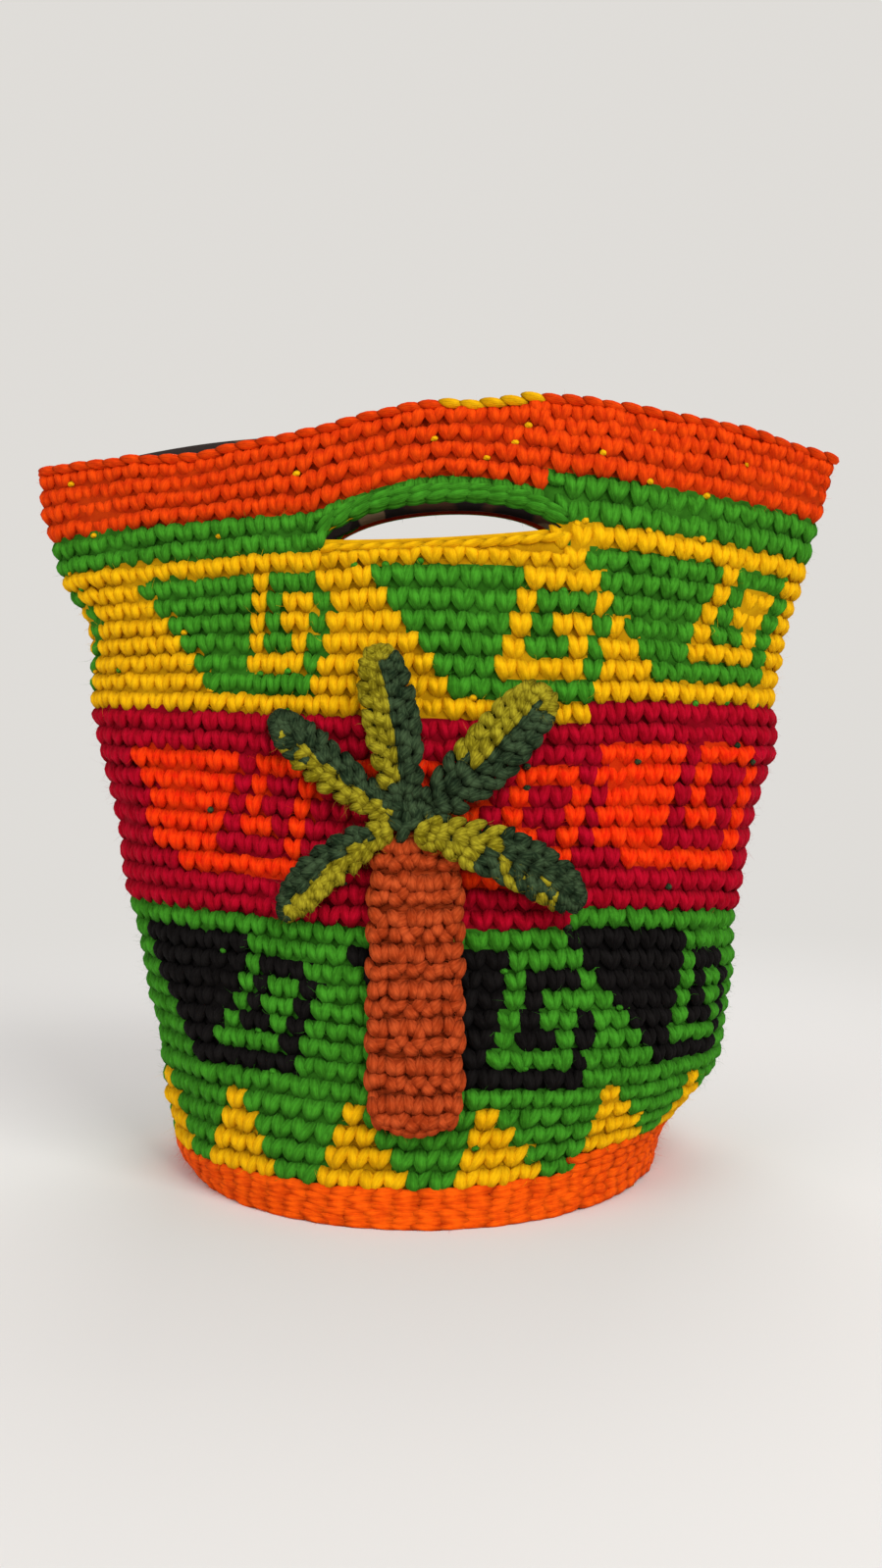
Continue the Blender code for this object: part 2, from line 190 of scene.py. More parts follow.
    # How far the stitches of a round have drifted sideways: places first, then rows that start with
    # their round.
    drifts: tuple[tuple[float, ...], ...] = (
        (-34.0, -20.0, -17.0, -13.0, -10.0, -5.5, -1.5, 3.0, 7.5, 10.0, 14.0, 19.0, 34.0),
        (2.0, 0.0, -2.0, -1.8, -1.5, -1.15, -0.40, 0.05, 0.70, 0.95, 1.00, 1.00, 0.80, 0.0),
        (5.0, 0.0, -1.9, -1.7, -1.5, -1.20, -0.60, -0.40, -0.10, 0.20, 0.30, 0.50, 0.40, 0.0),
        (8.0, 0.0, -1.8, -1.7, -1.3, -0.80, -0.80, -0.30, 0.50, 0.50, 0.40, 0.30, 0.20, 0.0),
        (12.0, 0.0, -0.9, -0.8, -0.3, 0.30, -0.75, -0.50, 0.35, 0.30, 0.60, 0.50, 0.40, 0.0),
        (17.0, 0.0, -0.3, -0.3, -0.2, 0.00, -0.50, -0.30, -0.10, 0.10, 0.10, 0.20, 1.20, 0.0),
        (22.0, 0.0, 0.4, 0.5, 0.3, 0.10, -0.60, -0.50, 0.00, 0.30, 0.20, 0.10, 1.20, 0.0),
        (27.0, 0.0, 0.5, 0.7, 0.8, 0.60, -0.50, -0.65, -0.40, 0.20, 0.25, 0.10, 0.60, 0.0),
        (31.0, 0.0, 0.5, 0.6, 0.5, 0.30, -0.60, -0.75, -0.15, 0.15, 0.40, 0.60, 0.50, 0.0),
        (35.0, 0.0, 0.4, 0.4, 0.4, 0.30, -0.30, -0.30, -0.10, 0.00, 0.30, 0.30, 0.30, 0.0),
    )
    places: np.ndarray = field(init=False, repr=False)
    normals: np.ndarray = field(init=False, repr=False)

    def __post_init__(self) -> None:
        """Work out the grid of places and normals once."""
        levels = np.arange(0.0, self.rounds + 1.5, self.grid_step)
        columns = self.stitches * 4
        angles = np.linspace(-math.pi, math.pi, self.section_steps)
        rows = []
        for level in levels:
            x, y, z = self.section_points(level, angles)
            arc = np.concatenate([[0.0], np.cumsum(np.hypot(np.diff(x), np.diff(y)))])
            even = np.linspace(0.0, arc[-1], columns + 1)[:-1]
            rows.append(np.stack([np.interp(even, arc, part) for part in (x, y, z)], axis=1))
        self.places = np.array(rows)
        along = np.roll(self.places, -1, axis=1) - np.roll(self.places, 1, axis=1)
        up = np.gradient(self.places, axis=0)
        up[:, :, 2] = np.maximum(up[:, :, 2], 0.0006)
        cross = np.cross(along, up)
        self.normals = cross / np.linalg.norm(cross, axis=2, keepdims=True)

    def shares(self, level: float | np.ndarray, column: int) -> np.ndarray:
        """Smooth curve through one column of the shape table.

        Args:
            level: level in rounds.
            column: column of the table.

        Returns:
            The column's value at each level.
        """
        table = np.array(self.shape)
        share = np.clip(np.asarray(level, float) / (self.rounds + self.round_margin), 0.0, 1.0)
        xs, ys = table[:, 0], table[:, column]
        slopes = np.empty_like(ys)
        slopes[1:-1] = (ys[2:] - ys[:-2]) / (xs[2:] - xs[:-2])
        slopes[0] = (ys[1] - ys[0]) / (xs[1] - xs[0])
        slopes[-1] = (ys[-1] - ys[-2]) / (xs[-1] - xs[-2])
        index = np.clip(np.searchsorted(xs, share) - 1, 0, len(xs) - 2)
        span = xs[index + 1] - xs[index]
        t = (share - xs[index]) / span
        return ((2 * t**3 - 3 * t**2 + 1) * ys[index] + (t**3 - 2 * t**2 + t) * span * slopes[index]
                + (3 * t**2 - 2 * t**3) * ys[index + 1] + (t**3 - t**2) * span * slopes[index + 1])

    def section(self, level: float | np.ndarray) -> tuple[np.ndarray, np.ndarray, np.ndarray, np.ndarray]:
        """Measure the level section through the bag.

        Args:
            level: level in rounds.

        Returns:
            Middle across, half width, half depth and the power of its cosine.
        """
        left = self.base_radius + (self.mouth_left - self.base_radius) * self.shares(level, 1)
        right = self.base_radius + (self.mouth_right - self.base_radius) * self.shares(level, 2)
        depth = self.base_radius + (self.mouth_half_depth - self.base_radius) * self.shares(level, 3)
        stations, more_left, more_right = zip(*self.side_fit)
        left = left + np.interp(level, stations, more_left)
        right = right + np.interp(level, stations, more_right)
        share = np.clip(np.asarray(level, float) / (self.rounds + self.round_margin), 0.0, 1.0)
        flattened = np.maximum(share - self.flatten_from, 0.0) / (1.0 - self.flatten_from)
        power = 1.0 + self.flatten * flattened**1.3
        return (right - left) / 2, (left + right) / 2, depth, power

    def height(self, level: float | np.ndarray, across: np.ndarray, back: np.ndarray) -> np.ndarray:
        """Height of the fabric at a level.

        Args:
            level: level in rounds.
            across: from -1 at the left corner to 1 at the right one.
            back: which of them are on the back.

        Returns:
            The heights.
        """
        share = np.clip(np.asarray(level, float) / (self.rounds + self.round_margin), 0.0, 1.0)
        middle = self.front_height * self.shares(level, 4)
        upper = np.maximum(share - 0.64, 0.0) / 0.36
        left = self.corner_height * self.shares(level, 5)
        right = self.corner_height * self.shares(level, 6)
        corner = np.where(across < 0, left, right)
        left_power = 2.0 - np.where(back, 0.4, 0.7) * upper
        power = np.where(across < 0, left_power, 2.0)
        return middle + (corner - middle) * np.abs(across) ** power + self.pulled(share, across, back)

    def pulled(self, share: np.ndarray, across: np.ndarray, back: np.ndarray) -> np.ndarray:
        """How far the fabric is pulled up; on the back it fades from the corners to the middle.

        Args:
            share: share of the way up.
            across: from -1 at the left corner to 1 at the right one.
            back: which of them are on the back.

        Returns:
            The distances up.
        """
        share, across, back = np.broadcast_arrays(share, across, back)
        stations = [row[0] for row in self.pull]
        columns = [np.interp(share, stations, [row[index + 1] for row in self.pull])
                   for index in range(len(self.pull_across))]
        front = np.zeros_like(across, float)
        for index in range(len(self.pull_across) - 1):
            start, end = self.pull_across[index], self.pull_across[index + 1]
            t = (across - start) / (end - start)
            inside = (t >= 0.0) & ((t < 1.0) | (index == len(self.pull_across) - 2))
            front = np.where(inside, columns[index] * (1.0 - t) + columns[index + 1] * t, front)
        corner = np.where(across < 0, columns[0], columns[-1])
        return np.where(back, corner * across**2, front)

    def section_points(self, level: float, angles: np.ndarray,
                       out: np.ndarray | float = 0.0) -> tuple[np.ndarray, np.ndarray, np.ndarray]:
        """Points of one level section, with the fabric pushed aside round the hand slots.

        Args:
            level: level in rounds.
            angles: directions of the points, 0 at the front.
            out: how far the section is grown.

        Returns:
            Their X, Y and Z.
        """
        middle, half, depth, power = self.section(level)
        half, depth = half + out, depth + out
        sine, cosine = np.sin(angles), np.cos(angles)
        x = middle + half * sine
        y = -np.sign(cosine) * depth * np.abs(cosine) ** power
        z = self.height(level, sine, cosine < 0)
        spread = (x - self.slot_centre) / (self.slot_length * 0.53)
        bow = np.clip(1.0 - spread * spread, 0.0, 1.0)
        front = np.interp(level, *zip(*self.front_push))
        rear = np.interp(level, *zip(*self.back_push))
        return x, y, z + bow * np.where(cosine > 0, front, rear)

    def ring(self, level: float, columns: int, out: np.ndarray | float) -> np.ndarray:
        """Points round one level, with the section itself grown or shrunk, so that walls never cross.

        Args:
            level: level in rounds.
            columns: number of points, evenly spread by stitch from the back centre.
            out: how far the section is grown, one value or one for each point.

        Returns:
            Array of points by 3.
        """
        angles = np.linspace(-math.pi, math.pi, self.section_steps)
        x, y, _ = self.section_points(level, angles)
        arc = np.concatenate([[0.0], np.cumsum(np.hypot(np.diff(x), np.diff(y)))])
        even = np.linspace(0.0, arc[-1], columns + 1)[:-1]
        return np.stack(self.section_points(level, np.interp(even, arc, angles), out), axis=1)

    def spiral(self, rounds_up: np.ndarray, place: np.ndarray) -> np.ndarray:
        """Level of a place on the spiral, which rises leftwards from the jog by one round.

        Args:
            rounds_up: the round that the place belongs to, counted in its own yarn.
            place: stitches to the right of the front centre.

        Returns:
            The levels, in rounds.
        """
        turn = np.mod(self.jog(rounds_up) - place, self.stitches) / self.stitches
        rise = np.minimum(rounds_up / 2.0, 1.0) * (1.0 - 0.7 * smooth_step(rounds_up, 36.0, 39.0))
        return rounds_up + turn * rise

    def jog(self, rounds_up: np.ndarray | float) -> np.ndarray:
        """Place where a round starts, in stitches to the right of the front centre."""
        return np.interp(rounds_up, *zip(*self.starts))

    def drift(self, row: float, place: np.ndarray) -> np.ndarray:
        """How far the stitches of a round have drifted sideways.

        Args:
            row: the round.
            place: places from about -42 to 42.

        Returns:
            The drifts, in stitches.
        """
        levels = [line[0] for line in self.drifts[1:]]
        profile = [np.interp(row, levels, [line[index + 1] for line in self.drifts[1:]])
                   for index in range(len(self.drifts[0]))]
        return np.interp(place, self.drifts[0], profile)

    def at(self, level: np.ndarray, place: np.ndarray, out: np.ndarray | float = 0.0) -> np.ndarray:
        """Points of the surface, raised along its normal.

        Args:
            level: level in rounds.
            place: stitches to the right of the front centre.
            out: distance outwards.

        Returns:
            Array of points with the shape of level and place.
        """
        level, place = np.broadcast_arrays(np.asarray(level, float), np.asarray(place, float))
        row = np.clip(level / self.grid_step, 0.0, len(self.places) - 1.001)
        column = np.mod(place / self.stitches + 0.5, 1.0) * self.places.shape[1]
        row_low = np.floor(row).astype(int)
        column_low = np.floor(column).astype(int)
        up = (row - row_low)[..., None]
        side = (column - column_low)[..., None]
        count = self.places.shape[1]
        column_low = np.mod(column_low, count)
        column_high = np.mod(column_low + 1, count)

        def blend(grid: np.ndarray) -> np.ndarray:
            """Mix the four corners of the grid cell.

            Args:
                grid: values by grid level and grid column.

            Returns:
                The values between them.
            """
            low = grid[row_low, column_low] * (1 - side) + grid[row_low, column_high] * side
            high = grid[row_low + 1, column_low] * (1 - side) + grid[row_low + 1, column_high] * side
            return low * (1 - up) + high * up

        wave = (np.sin(place * 0.83 + level * 0.71) + np.sin(place * 0.37 - level * 1.13 + 2.0)
                + np.sin(place * 1.31 + level * 0.29 + 4.0))
        ripple = self.ripple * wave * smooth_step(level, 2.0, 5.0)
        return blend(self.places) + blend(self.normals) * (np.asarray(out, float) + ripple)[..., None]

    def front(self, x: np.ndarray, z: np.ndarray) -> np.ndarray:
        """Depth Y of the front surface at a given X and Z.

        Args:
            x: across positions.
            z: heights.

        Returns:
            The Y of the surface.
        """
        low = np.zeros_like(x)
        high = np.full_like(x, float(self.rounds))
        for _ in range(24):
            level = (low + high) / 2
            middle, half, depth, power = self.section(level)
            across = np.clip((x - middle) / half, -1.0, 1.0)
            below = self.height(level, across, np.zeros_like(x, bool)) < z
            low = np.where(below, level, low)
            high = np.where(below, high, level)
        return -depth * np.sqrt(np.maximum(1.0 - across**2, 0.0)) ** power

    def slot_edges(self, across: np.ndarray) -> tuple[np.ndarray, np.ndarray]:
        """Heights of the lower and the upper edge of a hand slot.

        Args:
            across: from -1 at the slot's left end to 1 at its right end.

        Returns:
            Heights of both edges.
        """
        bow = np.maximum(1.0 - across**2, 0.0)
        bottom = self.slot_bottom + self.slot_tilt * across
        lower = bottom - self.slot_sag * bow
        upper = bottom + 0.0018 * (1.0 - across**4) + (self.slot_height - 0.003) * bow**0.75
        return lower, upper


@dataclass
class YarnPile:
    """Collects copies of one modelled leg of yarn, and turns them into one piece."""

    leg: bpy.types.Object
    points: list[np.ndarray] = field(default_factory=list)
    yarns: list[np.ndarray] = field(default_factory=list)
    loose: list[tuple[np.ndarray, Yarn]] = field(default_factory=list)
    template: np.ndarray = field(init=False, repr=False)

    def __post_init__(self) -> None:
        """Read the leg's own points, along its length on Z."""
        mesh = self.leg.data
        flat = np.empty(len(mesh.vertices) * 3)
        mesh.vertices.foreach_get("co", flat)
        self.template = flat.reshape(-1, 3)

    def add(self, points: np.ndarray, yarns: np.ndarray) -> None:
        """Add legs whose points are already in place.

        Args:
            points: array of legs by points by 3.
            yarns: material number of each leg.
        """
        self.points.append(points)
        self.yarns.append(np.asarray(yarns, int))

    def add_fibres(self, roots: np.ndarray, outward: np.ndarray, yarn: Yarn,
                   random: np.random.Generator) -> None:
        """Add loose fibres that stand off the yarn as fine, bent ribbons.

        Args:
            roots: array of roots by 3.
            outward: unit vectors off the yarn.
            yarn: the yarn that they come from.
            random: source of the small differences.
        """
        count = len(roots)
        drift = random.normal(size=(count, 3)) * 0.8
        direction = outward * random.uniform(0.15, 0.9, (count, 1)) + drift
        direction /= np.linalg.norm(direction, axis=1, keepdims=True)
        curl = random.normal(size=(count, 3)) * 0.55
        length = random.uniform(0.0012, 0.0040, (count, 1))
        width = np.cross(direction, outward + 0.01) * 0.000035
        middle = roots + direction * length * 0.5
        end = roots + direction * length + curl * length * 0.5
        ribbon = np.stack([roots - width, roots + width, middle + width, middle - width, end], axis=1)
        self.loose.append((ribbon, yarn))

    def build(self, name: str, floor_level: float | None = None) -> bpy.types.Object:
        """Make one piece of everything collected.

        Args:
            name: name of the piece.
            floor_level: height that no point goes below.

        Returns:
            The new object, with its place in its mesh.
        """
        source = self.leg.data
        legs = np.concatenate(self.points)
        yarns = np.concatenate(self.yarns)
        per_leg = len(source.vertices)
        corners = np.empty(len(source.loops), int)
        source.loops.foreach_get("vertex_index", corners)
        sizes = np.empty(len(source.polygons), int)
        source.polygons.foreach_get("loop_total", sizes)
        uv = np.empty(len(source.loops) * 2)
        source.uv_layers.active.data.foreach_get("uv", uv)
        # Painted shade: each leg darkens towards its ends, where it tucks under its neighbours.
        painted_shade = np.abs(self.template[:, 2]) ** 2.2
        count = len(legs)
        vertices = legs.reshape(-1, 3)
        indices = (corners[None, :] + per_leg * np.arange(count)[:, None]).ravel()
        totals = np.tile(sizes, count)
        materials = np.repeat(yarns, len(sizes))
        uvs = np.tile(uv.reshape(-1, 2), (count, 1))
        painted_shades = np.tile(np.clip(painted_shade, 0.0, 1.0), count)
        for ribbon, yarn in self.loose:
            start = len(vertices)
            number = len(ribbon)
            vertices = np.concatenate([vertices, ribbon.reshape(-1, 3)])
            base = start + 5 * np.arange(number)[:, None]
            indices = np.concatenate([indices, (base + np.array([[0, 1, 2, 3, 3, 2, 4]])).ravel()])
            totals = np.concatenate([totals, np.tile([4, 3], number)])
            materials = np.concatenate([materials, np.full(number * 2, yarn.value)])
            uvs = np.concatenate([uvs, np.zeros((number * 7, 2))])
            painted_shades = np.concatenate([painted_shades, np.zeros(number * 5)])
        if floor_level is not None:
            vertices[:, 2] = np.maximum(vertices[:, 2], floor_level)
        return mesh_object(name, vertices, indices, totals, materials, uvs, painted_shades)


def mesh_object(name: str, vertices: np.ndarray, indices: np.ndarray, totals: np.ndarray,
                materials: np.ndarray, uvs: np.ndarray, painted_shades: np.ndarray) -> bpy.types.Object:
    """Make a smooth-shaded object from plain arrays, with its UV map and its attribute of painted shade.

    Args:
        name: name of the object.
        vertices: array of points by 3.
        indices: the faces' points, face after face.
        totals: number of points of each face.
        materials: material number of each face.
        uvs: array of face points by 2.
        painted_shades: how much painted shade darkens each point.

    Returns:
        The new object.
    """
    used = sorted(set(int(number) for number in materials))
    mesh = bpy.data.meshes.new(name)
    mesh.vertices.add(len(vertices))
    mesh.vertices.foreach_set("co", np.ascontiguousarray(vertices, float).ravel())
    mesh.loops.add(len(indices))
    mesh.loops.foreach_set("vertex_index", indices.astype(np.int32))
    mesh.polygons.add(len(totals))
    starts = np.concatenate([[0], np.cumsum(totals)[:-1]])
    mesh.polygons.foreach_set("loop_start", starts.astype(np.int32))
    slots = np.searchsorted(np.array(used), materials)
    mesh.update(calc_edges=True)
    mesh.polygons.foreach_set("material_index", slots.astype(np.int32))
    layer = mesh.uv_layers.new(name="strand")
    layer.data.foreach_set("uv", uvs.ravel())
    attribute = mesh.attributes.new("painted_shade", "FLOAT", "POINT")
    attribute.data.foreach_set("value", painted_shades)
    mesh.validate()
    mesh.shade_smooth()
    made = bpy.data.objects.new(name, mesh)
    bpy.context.scene.collection.objects.link(made)
    for number in used:
        made.data.materials.append(yarn_material(Yarn(number)))
    return made


def deselect() -> None:
    """Deselect everything, so that an operator only meets the new primitive."""
    for obj in bpy.context.selected_objects:
        obj.select_set(False)


def model_leg() -> bpy.types.Object:
    """Model one leg of a stitch once: a fat grain of yarn of unit half length, along Z.

    Returns:
        The pattern, to be removed at the end.
    """
    deselect()
    bpy.ops.mesh.primitive_uv_sphere_add(segments=7, ring_count=7, radius=1.0, location=(0.0, 0.0, 0.0))
    leg = bpy.context.active_object
    leg.name = "leg_pattern"
    bpy.ops.object.mode_set(mode="EDIT")
    mesh = bmesh.from_edit_mesh(leg.data)
    for vert in mesh.verts:
        fullness = 1.0 + 0.18 * (1.0 - vert.co.z**2)
        vert.co.x *= fullness
        vert.co.y *= fullness
    bmesh.update_edit_mesh(leg.data)
    bpy.ops.transform.resize(value=(0.86, 0.86, 1.0))
    bpy.ops.object.mode_set(mode="OBJECT")
    return leg


def add_node(tree: bpy.types.NodeTree, kind: str, values: dict | None = None, feeds: dict | None = None,
             **settings: str) -> bpy.types.Node:
    """Add a shader node with its properties, fixed values and links.

    Args:
        tree: node tree to add it to.
        kind: the node's type, without its usual start.
        values: fixed values by socket.
        feeds: the outputs that feed it, by socket.
        settings: the node's own properties.

    Returns:
        The new node.
    """
    node = tree.nodes.new("ShaderNode" + kind)
    for name, value in settings.items():
        setattr(node, name, value)
    for socket, value in (values or {}).items():
        node.inputs[socket].default_value = value
    for socket, output in (feeds or {}).items():
        tree.links.new(output, node.inputs[socket])
    return node


def new_material(name: str, values: dict) -> tuple[bpy.types.Material, bpy.types.Node]:
    """Make a material whose shader has the given fixed values.

    Args:
        name: name of the material.
        values: fixed values by socket.

    Returns:
        The material and its shader.
    """
    made = bpy.data.materials.new(name)
    made.use_nodes = True
    shader = made.node_tree.nodes["Principled BSDF"]
    for socket, value in values.items():
        shader.inputs[socket].default_value = value
    return made, shader


_made_materials: dict[str, bpy.types.Material] = {}


def yarn_material(yarn: Yarn) -> bpy.types.Material:
    """Procedural plied yarn: twisted plies, fine fibres, painted shade in the hollows and between the plies,
    and a soft sheen.

    Args:
        yarn: which yarn.

    Returns:
        Its material, made once and then shared.
    """
    finish = FINISHES[yarn]
    if finish.name in _made_materials:
        return _made_materials[finish.name]
    made, shader = new_material(finish.name, {
        "Roughness": finish.roughness, "Sheen Weight": finish.sheen, "Sheen Roughness": 0.5,
        "Sheen Tint": (*finish.bright, 1.0), "Specular IOR Level": 0.06})
    tree = made.node_tree
    place = add_node(tree, "TexCoord")
    mottle = add_node(tree, "TexNoise", {"Scale": 260.0, "Detail": 3.0}, {"Vector": place.outputs["Object"]})
    twist = add_node(tree, "Mapping", {"Scale": (1.9, 1.2, 1.0)}, {"Vector": place.outputs["UV"]})
    plies = add_node(tree, "TexWave", {"Scale": 0.9, "Distortion": 1.2, "Detail": 1.0},
                     {"Vector": twist.outputs["Vector"]}, bands_direction="DIAGONAL")
    strands = add_node(tree, "Mapping", {"Rotation": (0.0, 0.0, 0.5), "Scale": (20.0, 2.6, 1.0)},
                       {"Vector": place.outputs["UV"]})
    streak = add_node(tree, "TexNoise", {"Scale": 1.0, "Detail": 3.0}, {"Vector": strands.outputs["Vector"]})
    speckle = add_node(tree, "Math", None, {0: mottle.outputs["Fac"], 1: streak.outputs["Fac"]},
                       operation="ADD")
    spread = add_node(tree, "MapRange", {"From Min": 0.80, "From Max": 1.20},
                      {"Value": speckle.outputs["Value"]})
    tone = add_node(tree, "Mix", {"A": (*finish.colour, 1.0), "B": (*finish.bright, 1.0)},
                    {"Factor": spread.outputs["Result"]}, data_type="RGBA")
    # Painted shade: this attribute multiplies the colour towards about a third of itself.
    painted_shade = add_node(tree, "Attribute", attribute_name="painted_shade")
    shade = add_node(tree, "Mix", {"B": (0.30, 0.28, 0.28, 1.0)},
                     {"Factor": painted_shade.outputs["Fac"], "A": tone.outputs["Result"]},
                     data_type="RGBA", blend_type="MULTIPLY")
    # Painted shade in the grooves between the plies, where the wave is low.
    between = add_node(tree, "MapRange", {"From Min": 0.45, "From Max": 0.0}, {"Value": plies.outputs["Fac"]})
    painted_crease_shade = add_node(tree, "Mix", {"B": (0.86, 0.84, 0.84, 1.0)},
                      {"Factor": between.outputs["Result"], "A": shade.outputs["Result"]},
                      data_type="RGBA", blend_type="MULTIPLY")
    relief = add_node(tree, "Math", {1: 1.1}, {0: streak.outputs["Fac"], 2: plies.outputs["Fac"]},
                      operation="MULTIPLY_ADD")
    bump = add_node(tree, "Bump", {"Strength": 0.6, "Distance": 0.0004}, {"Height": relief.outputs["Value"]})
    tree.links.new(painted_crease_shade.outputs["Result"], shader.inputs["Base Color"])
    tree.links.new(bump.outputs["Normal"], shader.inputs["Normal"])
    _made_materials[finish.name] = made
    return made


@dataclass(frozen=True)
class LiningPrint:
    """Printed cotton of the lining: dark cloth with tan and brown blotches."""

    name: str = "lining_print"
    ground: Colour = (0.020, 0.011, 0.008)
    brown: Colour = (0.120, 0.050, 0.022)
    tan: Colour = (0.40, 0.26, 0.14)
    threads: float = 700.0

    def material(self) -> bpy.types.Material:
        """Make the printed cotton with its fine plain weave.

        Returns:
            The material.
        """
        made, shader = new_material(self.name, {
            "Roughness": 0.8, "Sheen Weight": 0.15, "Specular IOR Level": 0.25})
        tree = made.node_tree
        place = {"Vector": add_node(tree, "TexCoord").outputs["Object"]}
        swirl = add_node(tree, "TexNoise", {"Scale": 34.0, "Detail": 1.5, "Distortion": 1.6}, place)
        spots = add_node(tree, "TexVoronoi", {"Scale": 62.0}, place)
        edge = add_node(tree, "MapRange", {"From Min": 0.50, "From Max": 0.54},
                        {"Value": swirl.outputs["Fac"]})
        first = add_node(tree, "Mix", {"A": (*self.ground, 1.0), "B": (*self.brown, 1.0)},
                         {"Factor": edge.outputs["Result"]}, data_type="RGBA")
        blot = add_node(tree, "MapRange", {"From Min": 0.30, "From Max": 0.26},
                        {"Value": spots.outputs["Distance"]})
        second = add_node(tree, "Mix", {"B": (*self.tan, 1.0)},
                          {"Factor": blot.outputs["Result"], "A": first.outputs["Result"]}, data_type="RGBA")
        warp = add_node(tree, "TexWave", {"Scale": self.threads}, place)
        weft = add_node(tree, "TexWave", {"Scale": self.threads}, place, bands_direction="Z")
        weave = add_node(tree, "Math", None, {0: warp.outputs["Fac"], 1: weft.outputs["Fac"]},
                         operation="MULTIPLY")
        bump = add_node(tree, "Bump", {"Strength": 0.3, "Distance": 0.0002},
                        {"Height": weave.outputs["Value"]})
        tree.links.new(second.outputs["Result"], shader.inputs["Base Color"])
        tree.links.new(bump.outputs["Normal"], shader.inputs["Normal"])
        return made


@dataclass(frozen=True)
class KeyMotif:
    """Stepped key figure: a wedge, a foot and a hook round a bar of ground yarn.

    wedge holds the wedge's width in each round, from the top. A late figure starts its hook a round lower.
    """

    wedge: tuple[int, ...] = (7, 6, 5, 4, 3, 2)
    late: bool = False
    hook: int = 4

    def holds(self, level: int, column: int) -> bool:
        """Whether a stitch is in the figure's yarn.

        Args:
            level: round of the motif, 0 at its top and -1 for a wider round over it.
            column: stitches to the right of the bar.

        Returns:
            Whether it is.
        """
        if level < 0:
            return -self.wedge[0] - 1 <= column <= -1
        if -self.wedge[level] <= column <= -1:
            return True
        if level == len(self.wedge) - 1:
            return 0 <= column <= self.hook
        if level == int(self.late):
            return 1 <= column < self.hook + int(self.late)
        outer = column == self.hook
        inner = column == 1 and level < self.hook
        nub = column == 2 and level == self.hook - 1
        return level > int(self.late) and (outer or inner or nub)


@dataclass(frozen=True)
class Band:
    """A stretch of rounds in the same pair of yarns.

    bars are the columns of the motifs' bars, on the front first and then round the back.
    late_bar is the one bar whose hook starts a round lower.
    """

    name: str
    first: int
    last: int
    ground: Yarn
    figure: Yarn
    fleck: Yarn
    fleck_share: float = 0.03
    motif_top: int = -1
    wide_top: bool = False
    bars: tuple[int, ...] = ()
    wedge: tuple[int, ...] = (7, 6, 5, 4, 3, 2)
    late_bar: int | None = None


TRIANGLE_PERIOD = 6
TRIANGLE_WIDTH = 4
TRIANGLE_START = -5
RIM_TURNS_ORANGE = 35

# Name, first and last round, ground, figure, carried yarn and how often it shows; then the motifs' top
# round, whether a wider round lies over it, the bars, the wedge's widths and the bar of the late hook.
BANDS: tuple[Band, ...] = (
    Band("crochet_base_edge", 0, 1, Yarn.LIT_BASE_ORANGE, Yarn.LIT_BASE_ORANGE, Yarn.YELLOW, 0.03),
    Band("crochet_triangles", 2, 6, Yarn.GREEN, Yarn.YELLOW, Yarn.YELLOW, 0.02),
    Band("crochet_lower_keys", 7, 14, Yarn.GREEN, Yarn.BLACK, Yarn.GREEN, 0.03, 12, True,
         (-13, 0, 10, 25, 40, 55), (6, 5, 4, 3, 2, 1)),
    Band("crochet_middle_keys", 15, 24, Yarn.RED, Yarn.MOTIF_ORANGE, Yarn.LEAF_DARK, 0.03, 22, False,
         (-16, -3, 7, 22, 37, 52), (7, 6, 5, 5, 4, 2)),
    Band("crochet_upper_keys", 25, 32, Yarn.YELLOW, Yarn.GREEN, Yarn.GREEN, 0.04, 31, False,
         (-18, -4, 6, 21, 36, 51), (7, 6, 5, 4, 3, 2), -4),
    Band("crochet_rim", 33, 38, Yarn.ORANGE, Yarn.GREEN, Yarn.YELLOW, 0.05),
)


